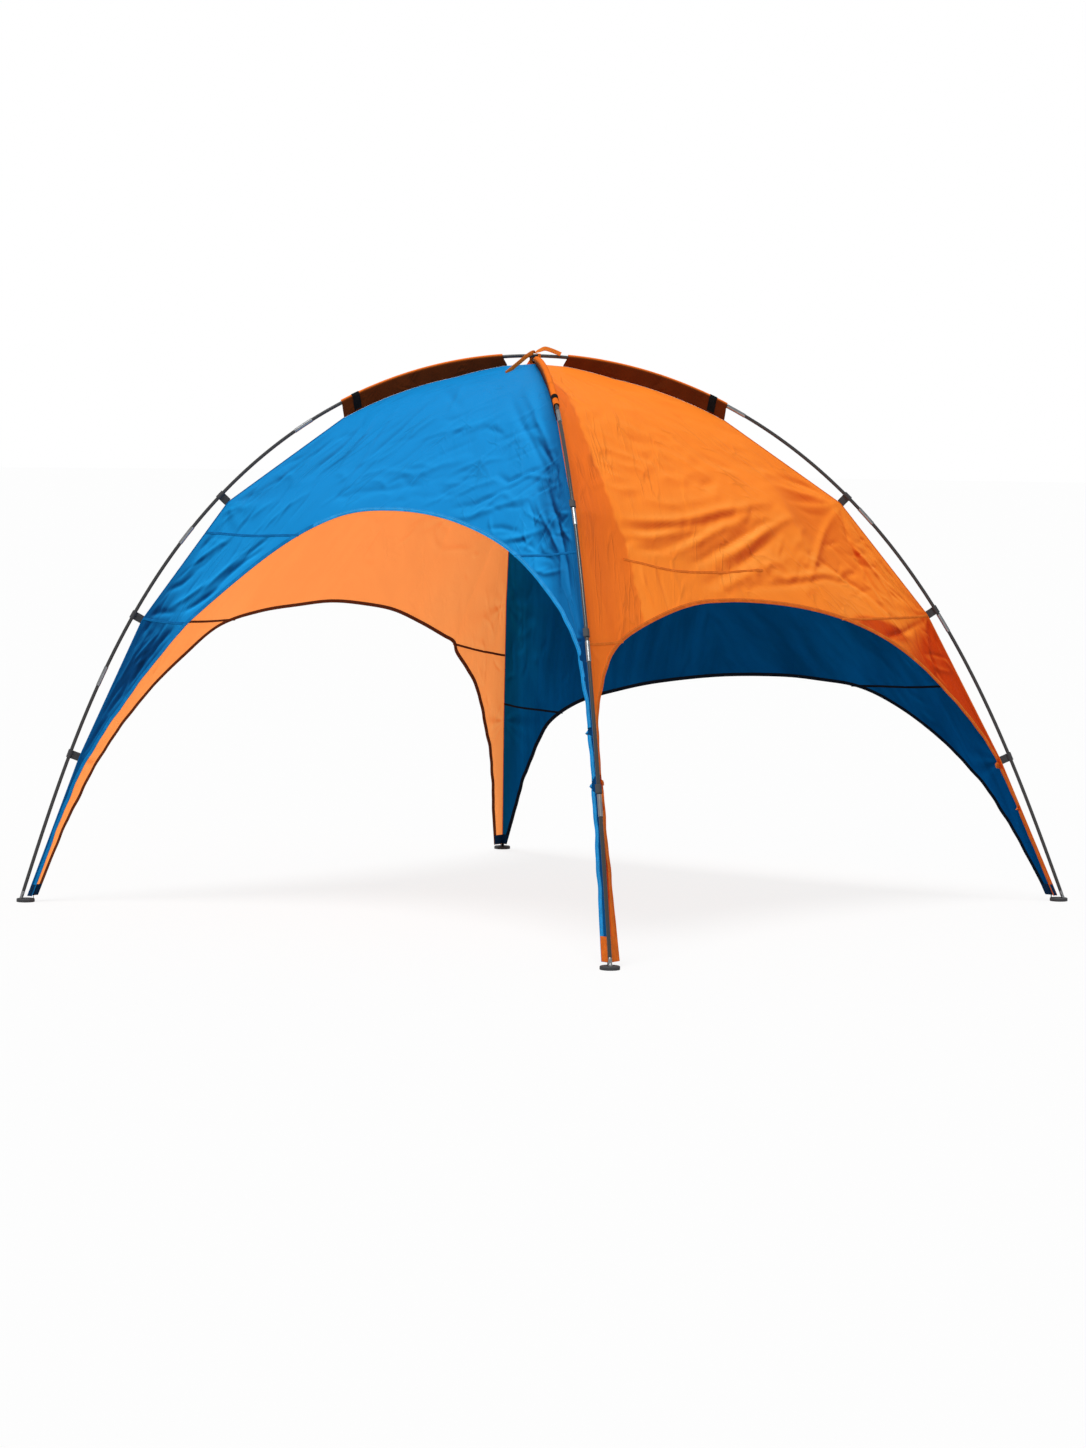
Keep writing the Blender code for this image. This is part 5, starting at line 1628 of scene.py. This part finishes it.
@dataclass
class SleeveSet:
    """The cloth tunnels round the poles near the top, and the webbing bands round their outer ends."""

    arms: dict[str, Arm]
    ease: float = 0.002
    wall: float = 0.0012
    seam_half_width: float = 0.00075
    band_start: float = 0.675
    band_width: float = 0.030
    band_thickness: float = 0.0012
    band_drop: float = 0.85
    stations: int = 90
    arc_points: int = 24
    flank_points: int = 9
    pucker: float = 0.0004
    pucker_waves: tuple[Triple, ...] = ((0.6, 52, 0), (0.4, 131, 1.3))
    wear: float = 0.03
    wear_change: float = 0.015
    # Where the painted light along the sleeve's top fades out: one range for the front and rear sleeves, one for the
    # left and right.
    lit_across: Pair = (0.35, 0.95)
    lit_along: Pair = (0.16, 0.46)

    @property
    def radius(self) -> float:
        """Inner radius of the tunnel over the pole."""
        return PLAN.ferrule_radius + self.ease

    def outline(self, depth: Array, radius: float, half_width: float) -> Array:
        """Teardrop round the pole: straight flanks from the seam, tangent to an arc over the pole.

        Args:
            depth: depth of the seam below the pole line, one for each ring.
            radius: radius of the arc.
            half_width: half of the width at the seam.

        Returns:
            For each ring, (sideways, outwards) of its points from the right foot over the pole to the left.
        """
        turn = (pi - np.arccos(radius / depth))[:, None] * np.linspace(1, -1, self.arc_points)
        arc = radius * columns(np.sin(turn), np.cos(turn))
        foot = columns(np.full_like(depth, half_width), -depth)[:, None]
        share = np.linspace(0, 1, self.flank_points, endpoint=False)[None, :, None]
        right = foot + (arc[:, :1] - foot) * share
        return join(right, arc, right[:, ::-1] * np.array([-1, 1]), axis=1)

    def rings(self, arm: Arm, seam_at: Array, radius: float, half_width: float, floor: float) -> Array:
        """Set the outline along an arm. The seam runs on past the pole side at both ends."""
        over_pole = np.interp(seam_at, arm.seam_reach, (arm.sleeve_start, arm.sleeve_end))
        depth = arm.seam_depth(seam_at) - floor
        outline = self.outline(depth, radius, half_width)
        lowness = np.clip(-outline[..., 1] / depth[:, None], 0, 1)
        reach = over_pole[:, None] + (seam_at - over_pole)[:, None] * lowness
        flank = np.sin(pi * lowness) * (outline[..., 1] < 0)
        wave = sum(rise * np.sin(seam_at * rate + start) for rise, rate, start in self.pucker_waves)
        side = outline[..., 0] + np.sign(outline[..., 0]) * self.pucker * flank * wave[:, None]
        return arm.pole.placed(arm.sign * reach, side, outline[..., 1])

    def build(self) -> None:
        """Make each sleeve and its band."""
        for arm in self.arms.values():
            self.sleeve(arm)
            self.band(arm)

    def sleeve(self, arm: Arm) -> None:
        """Make the tunnel as a closed skin: the outer rings down the arm, the inner ones back."""
        seam_at = np.linspace(*arm.seam_reach, self.stations)
        half, floor = self.seam_half_width, PLAN.touch_gap
        outer = self.rings(arm, seam_at, self.radius + self.wall, half, floor)
        inner = self.rings(arm, seam_at, self.radius, half / 4, floor + 3 * self.wall)
        height = np.abs(np.linspace(-1, 1, outer.shape[1]))
        # Painted light: the sleeve's top, where the light falls, takes the lit orange; the sides keep the brown of
        # painted shade, with a little random wear.
        lit = 1 - smooth_step(height, *(self.lit_across if arm.name in ("front", "rear") else self.lit_along))
        worn = self.wear + self.wear_change * np.sin(seam_at * 23) * np.sin(seam_at * 57 + 1)
        tone = np.maximum(lit, worn[:, None])
        name = f"sleeve_cloth_{arm.name}"
        skin = Skin(join(outer, inner[::-1]), closed=True, tone=join(tone, tone[::-1]), sharp_angle=60)
        piece = add_piece(name, skin, (SLEEVE_CLOTH,), f"sleeve_{arm.name}")

    def band(self, arm: Arm) -> None:
        """Make the webbing band: the outline between two depths, as wide as the webbing."""
        seam_at = np.linspace(self.band_start, self.band_start + self.band_width, 8)
        near = self.radius + self.wall + PLAN.touch_gap
        near_half = self.seam_half_width + PLAN.touch_gap * 1.25
        sides = []
        for radius, half in ((near, near_half), (near + self.band_thickness, near_half + self.band_thickness * 1.25)):
            ring = self.rings(arm, seam_at, radius, half, PLAN.touch_gap)
            for end, neighbour in ((0, self.flank_points), (-1, -1 - self.flank_points)):
                ring[:, end] += (ring[:, neighbour] - ring[:, end]) * (1 - self.band_drop)
            sides.append(ring)
        skin = Skin(shell(*sides))
        add_piece(f"band_{arm.name}", skin, (BLACK_WEBBING,), f"sleeve_band_{arm.name}")


@dataclass
class TieTape:
    """The tape tied round the crossing, with two tails."""

    width: float = 0.016
    thickness: float = 0.0015
    ease: float = 0.002
    samples: int = 14
    tail_down: tuple[Triple, ...] = (
        (-0.016, -0.147, -0.060), (-0.014, -0.116, -0.042), (-0.007, -0.079, -0.017), (0.0, -0.043, 0.007),
    )
    tail_over: tuple[Triple, ...] = (
        (0.0255, 0.0233, 0.0331), (0.0427, 0.0369, 0.0279), (0.0601, 0.0503, 0.0194), (0.0717, 0.0592, 0.0130),
    )

    def line(self) -> tuple[Array, Array]:
        """Centre line and width directions, from the left tail's end to the right tail's end.

        The tape comes up the front panel, crosses over the poles, goes down on the right, under the
        crossing along the canopy's peak, up on the left, over the first layer and out along pole A.
        """
        half = self.thickness / 2
        over = PLAN.pole_spacing / 2 + PLAN.pole_radius + PLAN.touch_gap + half + self.ease / 2
        above = over + self.thickness + self.ease
        under = PLAN.touch_gap + half - PLAN.peak_drop
        leg = sqrt(2) * (PLAN.pole_radius + PLAN.touch_gap) + self.width / 2 + self.ease
        bend = self.thickness + self.ease / 2
        pace = PLAN.pole_diameter
        up, down, rise = (0, 1, 0), (0, 0.2, -1), (-0.1, 0.2, 1)
        steps = [
            *((place, down) for place in self.tail_down),
            ((0, -pace, over + 1.5 * bend), (0, 1, -1)),
            ((leg / 3, -0.1 * pace, over), (-1, 3, 0)),
            ((leg - bend, 0, over - bend / 2), up),
            ((leg, 0, over - 2 * bend), up),
            ((leg, 0, under + 2 * bend), up),
            ((leg - bend, 0, under + bend / 2), up),
            ((leg / 2, 0, under), up),
            ((-leg / 2, 0, under), up),
            ((bend - leg, 0, under + bend / 2), up),
            ((-leg, 0, under + 2 * bend), up),
            ((-leg, 0, over - 2 * bend), up),
            ((bend - leg, 0, above - bend / 2), up),
            ((0, 0, above), (-0.2, 1, 0.4)),
            ((0.8 * pace, 0.9 * pace, above + 3 * bend), (-0.2, 0.6, 0.8)),
            *((place, rise) for place in self.tail_over),
        ]
        centres, widths = zip(*steps)
        shift = -PLAN.crossing_shift / sqrt(2)
        crossing = np.array([shift, shift, PLAN.crossing_height])
        return smooth_line(centres, self.samples) + crossing, unit(smooth_line(widths, self.samples))

    def build(self) -> None:
        """Make the ribbon."""
        line, width = self.line()
        along = unit(np.gradient(line, axis=0))
        width = square_to(width, along)
        rings = carried(line, width, np.cross(along, width), flat_profile(self.width, self.thickness))
        add_piece("tie_tape", Skin(rings), (ORANGE_TAPE,), "apex_tie")


@dataclass
class Studio:
    """Pale floor, white surroundings, one soft lamp and the camera of the photograph."""

    camera_azimuth: float = radians(39.08)
    camera_distance: float = 14.44
    camera_height: float = 1.655
    camera_yaw: float = radians(0.115)
    camera_pitch: float = radians(3.970)
    camera_roll: float = radians(0.621)
    lens: float = 98.16
    sky_level: float = 0.40
    lamp_level: float = 2.20
    lamp_angle: float = radians(30)
    lamp_from: Triple = (0.10, -0.55, 1.60)
    floor_size: float = 400.0
    floor_colour: float = 0.60
    floor_glow: float = 0.75
    floor_white: float = 1.10

    def build(self) -> None:
        """Make the floor, the surroundings, the lamp and the camera."""
        for part in (self.floor, self.surroundings, self.lamp, self.camera):
            part()

    def floor(self) -> None:
        """Lay a wide floor that is white to the camera and keeps a faint shadow."""
        half = self.floor_size / 2
        mesh = bpy.data.meshes.new("floor")
        corners = [(x * half, y * half, 0) for x, y in ((-1, -1), (1, -1), (1, 1), (-1, 1))]
        mesh.from_pydata(corners, [], [(0, 1, 2, 3)])
        made = bpy.data.materials.new("studio_floor")
        made.use_nodes = True
        board = NodeBoard(made.node_tree)
        paint = board.add("BsdfDiffuse", Color=opaque([self.floor_colour] * 3))
        glow = board.add("Emission", Color=opaque([1.0] * 3), Strength=self.floor_white)
        path = board.add("LightPath")
        share = board.times(path.outputs["Is Camera Ray"], self.floor_glow)
        mix = board.add("MixShader", i0=share, i1=paint.outputs[0], i2=glow.outputs[0])
        board.add("OutputMaterial", Surface=mix.outputs[0])
        mesh.materials.append(made)
        linked("floor", mesh)

    def surroundings(self) -> None:
        """Light the scene evenly from all round; what is seen of it is plain white."""
        world = bpy.data.worlds.new("studio")
        bpy.context.scene.world = world
        world.use_nodes = True
        board = NodeBoard(world.node_tree)
        path = board.add("LightPath")
        seen = board.math("MAXIMUM", path.outputs["Is Camera Ray"], path.outputs["Is Transmission Ray"])
        level = board.times(seen, 1.0 - self.sky_level, self.sky_level)
        glow = board.add("Background", Color=opaque([1.0] * 3), Strength=level)
        board.add("OutputWorld", Surface=glow.outputs[0])

    def lamp(self) -> None:
        """Hang one wide soft lamp high over the tent, a little toward the camera."""
        data = bpy.data.lights.new("key", "SUN")
        data.energy, data.angle = self.lamp_level, self.lamp_angle
        key = linked("key", data)
        key.rotation_mode = "QUATERNION"
        key.rotation_quaternion = Vector(self.lamp_from).to_track_quat("Z", "Y")

    def camera(self) -> None:
        """Set the camera where the photograph was taken from."""
        azimuth, pitch, roll = self.camera_azimuth, self.camera_pitch, self.camera_roll
        turned_by, away = azimuth + self.camera_yaw, self.camera_distance
        forward = np.array([-sin(turned_by) * cos(pitch), cos(turned_by) * cos(pitch), -sin(pitch)])
        right = np.array([cos(turned_by), sin(turned_by), 0.0])
        above = np.cross(right, forward)
        right, above = cos(roll) * right + sin(roll) * above, -sin(roll) * right + cos(roll) * above
        data = bpy.data.cameras.new("camera")
        data.lens, data.sensor_width = self.lens, 36.0
        data.clip_start, data.clip_end = 0.1, 1000.0
        camera = linked("camera", data)
        rotation = Matrix(np.column_stack([right, above, -forward]).tolist())
        place = (sin(azimuth) * away, -cos(azimuth) * away, self.camera_height)
        camera.matrix_world = Matrix.Translation(place) @ rotation.to_4x4()
        bpy.context.scene.camera = camera


# Arch outlines: (place between the ridges, share of the arch's height), in thousandths.
FRONT_ARCH = pairs(
    -985, 0, -970, 330, -850, 620, -620, 860, -350, 975, -30, 1000, 350, 975, 680, 900, 910, 760, 975, 600,
    980, 300, 975, 0
)
RIGHT_ARCH = pairs(
    -960, 0, -975, 450, -970, 670, -900, 820, -770, 907, -420, 985, -100, 1000, 300, 970, 600, 900, 800, 790,
    930, 620, 980, 450, 985, 0
)
REAR_ARCH = pairs(
    -983, 0, -955, 138, -906, 365, -833, 587, -771, 700, -640, 805, -459, 878, -273, 932, 0, 981, 260, 998,
    425, 988, 580, 962, 700, 880, 800, 752, 876, 588, 918, 447, 944, 270, 962, 80, 965, 0
)
LEFT_ARCH = pairs(
    -965, 0, -957, 200, -935, 370, -890, 555, -820, 708, -725, 825, -610, 926, -432, 972, -233, 991, -70, 1000,
    102, 988, 300, 960, 475, 907, 620, 852, 682, 826, 705, 785, 774, 717, 838, 635, 898, 471, 932, 330,
    946, 144, 960, 0
)

# Each fold: half width, rise, then (across, height) from one end to the other, all in millimetres.
FRONT_FOLDS = folds(
    (6, -3, -250, 1882, -140, 1838, -30, 1794), (6, -3.5, 140, 1730, 190, 1720, 250, 1706),
    (8, -5, 320, 1567, 390, 1544, 430, 1565, 480, 1586, 520, 1607), (7, 4, 410, 1571, 500, 1566, 590, 1557),
    (8, 4, -500, 1535, -490, 1571, -430, 1629, -400, 1705, -400, 1764, -390, 1800),
    (9, -4, -550, 1545, -510, 1600, -460, 1662, -440, 1727, -450, 1785),
    (8, 3.5, -350, 1491, -340, 1623, -340, 1681, -330, 1757, -340, 1845),
    (10, -3.5, -340, 1562, -290, 1656, -240, 1728, -210, 1815, -220, 1875),
    (8, 4, -650, 1638, -600, 1682, -560, 1726), (8, -4, -620, 1602, -570, 1639, -530, 1683),
    (8, 4, 150, 1478, 210, 1503, 260, 1528, 340, 1557),
    (9, -4.5, 200, 1448, 300, 1467, 370, 1502, 430, 1530, 500, 1572),
    (10, 4, 170, 1409, 300, 1422, 410, 1462, 530, 1494), (8, -4, 400, 1383, 460, 1388, 550, 1376),
    (9, 4, 420, 1356, 490, 1344, 570, 1360, 660, 1392), (12, 3, -150, 1557, -30, 1566, 50, 1602, 160, 1617),
    (12, -3, -380, 1469, -260, 1500, -120, 1509, 0, 1531),
    (12, 3, -130, 1686, -20, 1715, 100, 1744, 180, 1794), (8, 3, -190, 1905, -120, 1845, -80, 1787),
    (10, -4, 90, 1860, 250, 1773, 410, 1668, 550, 1573), (8, 5, 80, 1905, 300, 1795, 450, 1690, 580, 1587),
    (6, -4, 410, 1689, 500, 1635, 580, 1587), (9, -6, 580, 1533, 700, 1420, 800, 1288, 870, 1171),
    (8, 5, 560, 1485, 680, 1386, 770, 1301, 820, 1190), (7, -4, 570, 1350, 660, 1311, 750, 1287),
    (7, 4, 640, 1257, 720, 1240, 800, 1255), (9, -5, -900, 1277, -870, 1314, -830, 1350),
    (10, 6, -930, 1194, -880, 1249, -820, 1293, -770, 1334), (10, -7, -680, 1261, -630, 1308, -580, 1341),
    (11, -9, -760, 1149, -720, 1203, -670, 1251, -600, 1291), (10, 7, -810, 1140, -760, 1198, -700, 1264),
    (11, -8, -870, 1060, -790, 1116, -740, 1156), (10, 7, -940, 1079, -870, 1117, -800, 1169),
    (10, -6, -1000, 1127, -930, 1158, -880, 1202), (10, -6, -1040, 1040, -980, 1056, -910, 1059),
    (9, -6, -1040, 968, -1010, 1034, -1000, 1084), (10, -9, -990, 884, -950, 950, -910, 994),
    (9, 7, -1050, 875, -1010, 926, -970, 978), (10, -9, -1060, 774, -1010, 865, -990, 920),
    (9, 6, -1100, 801, -1070, 867, -1040, 925), (11, -9, -1130, 678, -1080, 755, -1060, 831),
    (9, -7, -1080, 737, -1010, 805, -970, 856), (8, 6, -1160, 691, -1130, 756, -1100, 822),
    (8, -6, -1190, 546, -1150, 627, -1110, 693), (7, 5, -1190, 460, -1150, 534, -1120, 592),
)
RIGHT_FOLDS = folds(
    (9, -5, -50, 1923, -10, 1909, 30, 1888, 120, 1879, 200, 1877),
    (9, 4, -450, 1671, -360, 1657, -270, 1634, -230, 1620, -140, 1589),
    (7, 3, -480, 1626, -430, 1609, -370, 1588), (7, 3, -490, 1592, -450, 1575, -400, 1558),
    (8, 3, -530, 1537, -460, 1520, -350, 1523),
    (12, 8, -560, 1422, -430, 1415, -280, 1413, -140, 1423, -20, 1440, 170, 1456, 340, 1477),
    (12, -6, -580, 1392, -430, 1381, -250, 1386, -120, 1399, 20, 1425, 150, 1439),
    (12, 7, -550, 1358, -440, 1360, -310, 1376, -180, 1392, -60, 1412),
    (12, -7, -560, 1321, -420, 1313, -290, 1331, -150, 1368, 10, 1408, 130, 1425),
    (12, 8, -460, 1306, -300, 1321, -160, 1351, -50, 1381, 100, 1414, 230, 1435),
    (13, -9, -290, 1260, -180, 1285, -60, 1318, 80, 1352, 220, 1389, 360, 1416),
    (12, 9, -140, 1271, 10, 1304, 140, 1344, 260, 1385, 420, 1423),
    (12, -7, -260, 1194, -80, 1236, 60, 1275, 200, 1322, 330, 1370),
    (11, 6, -200, 1169, -20, 1214, 160, 1253, 330, 1289),
    (8, -4, -40, 1180, 140, 1183, 320, 1190, 470, 1205, 540, 1193, 660, 1177),
    (9, 4, 150, 1207, 340, 1211, 490, 1223, 620, 1213), (8, -5, 530, 1570, 630, 1537, 710, 1505, 740, 1483),
    (9, 4, 460, 1541, 570, 1512, 680, 1487), (9, -3, 450, 1491, 590, 1480, 720, 1469),
    (14, 5, 720, 1454, 600, 1375, 480, 1283, 330, 1166), (12, -6, 740, 1447, 710, 1338, 730, 1223, 750, 1107),
    (9, 5, 690, 1367, 740, 1280, 800, 1200, 830, 1098), (9, -4, 490, 1276, 580, 1218, 680, 1152, 760, 1082),
    (6, -2.5, 390, 1302, 450, 1284, 520, 1262), (6, -2.5, 190, 1797, 210, 1769, 230, 1737),
    (10, -3, -480, 1273, -490, 1216, -510, 1135), (10, 3, -560, 1284, -590, 1201, -590, 1131),
    (12, -6, 960, 1045, 830, 1004, 660, 980, 520, 977), (12, 5, 960, 1030, 930, 900, 930, 755, 960, 609),
    (12, -5, 810, 976, 840, 794, 910, 611, 960, 429), (9, 3, -1080, 1033, -1030, 999, -980, 938),
    (8, 2.5, -150, 1821, -70, 1801, 80, 1788), (8, 2.5, -240, 1763, -130, 1736, 30, 1724),
    (8, -2.5, -270, 1707, -140, 1687, 10, 1663, 160, 1654), (8, 2.5, 130, 1847, 230, 1834, 320, 1810),
    (9, 3, -390, 1486, -250, 1468, -50, 1485, 120, 1505), (8, 2.5, -240, 1561, -80, 1568, 80, 1590),
    (8, -2.5, -180, 1520, 20, 1541, 200, 1548),
)
FRONT_CREASES = (
    CreasePatch((0.05, 1.66), (0.34, 0.11), 70, 28),
    CreasePatch((0.05, 1.50), (0.40, 0.05), 40, 12),
    CreasePatch((0.62, 1.44), (0.09, 0.20), 90, -55, 50, (0.015, 0.06), (4, 8), (1.5, 3.2)),
    CreasePatch((-0.74, 1.36), (0.12, 0.14), 40, 38),
    CreasePatch((-0.98, 0.92), (0.08, 0.22), 60, 58, 18, (0.03, 0.10), (5, 9), (1.5, 3.5)),
    CreasePatch((1.05, 0.80), (0.06, 0.30), 30, -70),
)
RIGHT_CREASES = (
    CreasePatch((0.0, 1.70), (0.26, 0.09), 70, -14, 14, (0.04, 0.12), (5, 10), (0.8, 2.0)),
    CreasePatch((0.05, 1.54), (0.34, 0.06), 50, 6, 12, (0.04, 0.13), (5, 10), (0.8, 2.0)),
    CreasePatch((0.05, 1.36), (0.34, 0.06), 30, 16, 10, (0.04, 0.12), (6, 10), (1.2, 2.8)),
    CreasePatch((0.30, 1.24), (0.30, 0.05), 40, 10, 18),
    CreasePatch((0.80, 1.16), (0.08, 0.14), 60, -52, 22, (0.02, 0.07), (4, 8), (1.2, 2.6)),
    CreasePatch((0.98, 0.80), (0.06, 0.26), 50, -68, 16, (0.03, 0.10), (5, 9), (1.2, 3.0)),
)
PLAIN_CREASES = (
    CreasePatch((0.0, 1.55), (0.42, 0.16), 90, 10, 40),
    CreasePatch((-0.95, 0.95), (0.10, 0.25), 40, 62, 20),
    CreasePatch((0.95, 0.95), (0.10, 0.25), 40, -62, 20),
)

PANELS = (
    PanelPlan(
        "front", "left", "front", (1, 0, 0), (0, -1, 0), 1.438, FRONT_ARCH,
        BLUE_CLOTH, PAINTED_SHADE_BLUE_LINING, BLUE_HEM, BLUE_SEAM, NAVY_TAPE, "cloth_blue",
        FoldField(FRONT_FOLDS, FRONT_CREASES, seed=3),
        # Painted shade: bands along the front ridge and over both legs.
        tone_bands=(
            ToneBand(False, (0.2, 0.9, 1.2, 1.4, 1.6, 1.9), (0.02, 0.06, 0.14, 0.17, 0.10, 0.01), 0.10, 0.60),
            ToneBand(False, (0.0, 0.6, 0.9, 1.15), (0.30, 0.30, 0.12, -0.05), 0.06, 0.5),
            ToneBand(True, (0.0, 0.5, 0.9, 1.1, 1.3, 1.45), (0.5, 0.5, 0.26, 0.05, -0.05, -0.15), 0.26, 0.9),
        ),
        leg_hem=BLUE_EDGE,
        leg_seams=((True, 1.343, 1.343), (False, 1.316, 1.296), (True, 1.03, 1.02)),
    ),
    PanelPlan(
        "right", "front", "right", (0, 1, 0), (1, 0, 0), 1.134, RIGHT_ARCH,
        ORANGE_CLOTH, ORANGE_LINING, ORANGE_HEM, ORANGE_SEAM, PAINTED_SHADE_BINDING, "cloth_orange",
        FoldField(RIGHT_FOLDS, RIGHT_CREASES, seed=5),
        # Painted shadow: the first band is the front ridge's shadow on this panel, kept smooth; then painted shade on
        # the leg by the front ridge and on the right leg.
        tone_bands=(
            ToneBand(
                True, (0.0, 1.0, 1.10, 1.332, 1.511, 1.667, 1.854, 1.93),
                (0.36, 0.36, 0.343, 0.298, 0.221, 0.158, 0.104, 0.0), 0.02, 0.42, 0.85,
            ),
            ToneBand(True, (0.12, 0.3, 0.6, 0.85), (0.016, 0.026, 0.030, -0.02), 0.02, 1.3),
            ToneBand(False, (0.3, 0.8, 0.95, 1.08, 1.25), (0.46, 0.38, 0.22, 0.0, -0.14), 0.26, 1.0),
        ),
        # Painted shade on two fold facets.
        tone_spots=(ToneSpot((0.69, 1.020), (0.14, 0.036), -14, 0.95), ToneSpot((0.60, 1.36), (0.22, 0.12), -50, 0.26)),
        seams=(((-0.64, 1.292), (-0.50, 1.262), (-0.36, 1.243), (-0.16, 1.236), (0.12, 1.238)),),
        leg_seams=((True, 1.02, 1.02), (False, 1.06, 1.06)),
    ),
    PanelPlan(
        "rear", "rear", "right", (1, 0, 0), (0, 1, 0), 0.802, REAR_ARCH,
        BLUE_CLOTH, PAINTED_SHADE_BLUE_LINING, NAVY_TAPE, BLUE_SEAM, NAVY_TAPE, "cloth_blue", FoldField((), PLAIN_CREASES, seed=7),
        # Painted light: the band lightens the inner side along the rear ridge.
        tone_bands=(ToneBand(True, (0.3, 0.8, 1.3, 1.7), (0.20, 0.20, 0.16, 0.0), 0.30, -0.55),),
        leg_seams=((True, 0.62, 0.60), (False, 0.80, 0.78)),
    ),
    PanelPlan(
        "left", "left", "rear", (0, 1, 0), (-1, 0, 0), 1.069, LEFT_ARCH,
        ORANGE_CLOTH, ORANGE_LINING, PAINTED_SHADE_BINDING, ORANGE_SEAM, PAINTED_SHADE_BINDING, "cloth_orange",
        FoldField((), PLAIN_CREASES, seed=9),
        leg_seams=((True, 1.016, 1.016), (False, 0.823, 0.883)),
    ),
)


@dataclass
class BeachTent:
    """The whole tent."""

    left_joints: tuple[float, ...] = (0.106, 0.305, 0.504, 0.707)
    right_joints: tuple[float, ...] = (0.073, 0.2565, 0.463, 0.626)
    cross_joints: tuple[float, ...] = (0.0912, 0.2735, 0.4558, 0.6381, 0.8204)
    left_clips: tuple[float, ...] = (0.439, 0.622, 0.811)
    right_clips: tuple[float, ...] = (0.4295, 0.6073, 0.8118)
    cross_clips: tuple[float, ...] = (0.4457, 0.6151, 0.8069)
    upper_sleeve_start: float = 0.120
    lower_sleeve_start: float = 0.050

    def build(self) -> None:
        """Make every sub-assembly in order, from the poles outwards."""
        spacing, drop = PLAN.pole_spacing, PLAN.peak_drop
        upper = BentPole("pole_a", (1, 1), PLAN.crossing_height + spacing / 2)
        lower = BentPole("pole_b", (-1, 1), PLAN.crossing_height - spacing / 2)
        crosswise = (self.cross_joints, self.cross_clips, self.lower_sleeve_start, drop - spacing / 2)
        start, depth = self.upper_sleeve_start, drop + spacing / 2
        found = (
            Arm("left", upper, -1, self.left_joints, self.left_clips, start, depth),
            Arm("right", upper, 1, self.right_joints, self.right_clips, start, depth),
            Arm("front", lower, -1, *crosswise),
            Arm("rear", lower, 1, *crosswise),
        )
        arms = {arm.name: arm for arm in found}
        peak = lower.at(0) - lower.lean * (drop - spacing / 2)
        ridges = {name: Ridge.under(arm, peak) for name, arm in arms.items()}
        for part in (PoleSet, FootSet, ClipSet, SleeveSet):
            part(arms).build()
        TieTape().build()
        Canopy(PANELS, ridges).build()


def main() -> None:
    """Load the frame, build the tent round it and the studio round both."""
    logging.basicConfig(level=logging.INFO, format="%(name)s: %(message)s")
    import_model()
    bpy.context.scene.view_settings.view_transform = "Standard"
    BeachTent().build()
    Studio().build()
    bpy.context.view_layer.update()


if __name__ == "__main__":
    main()
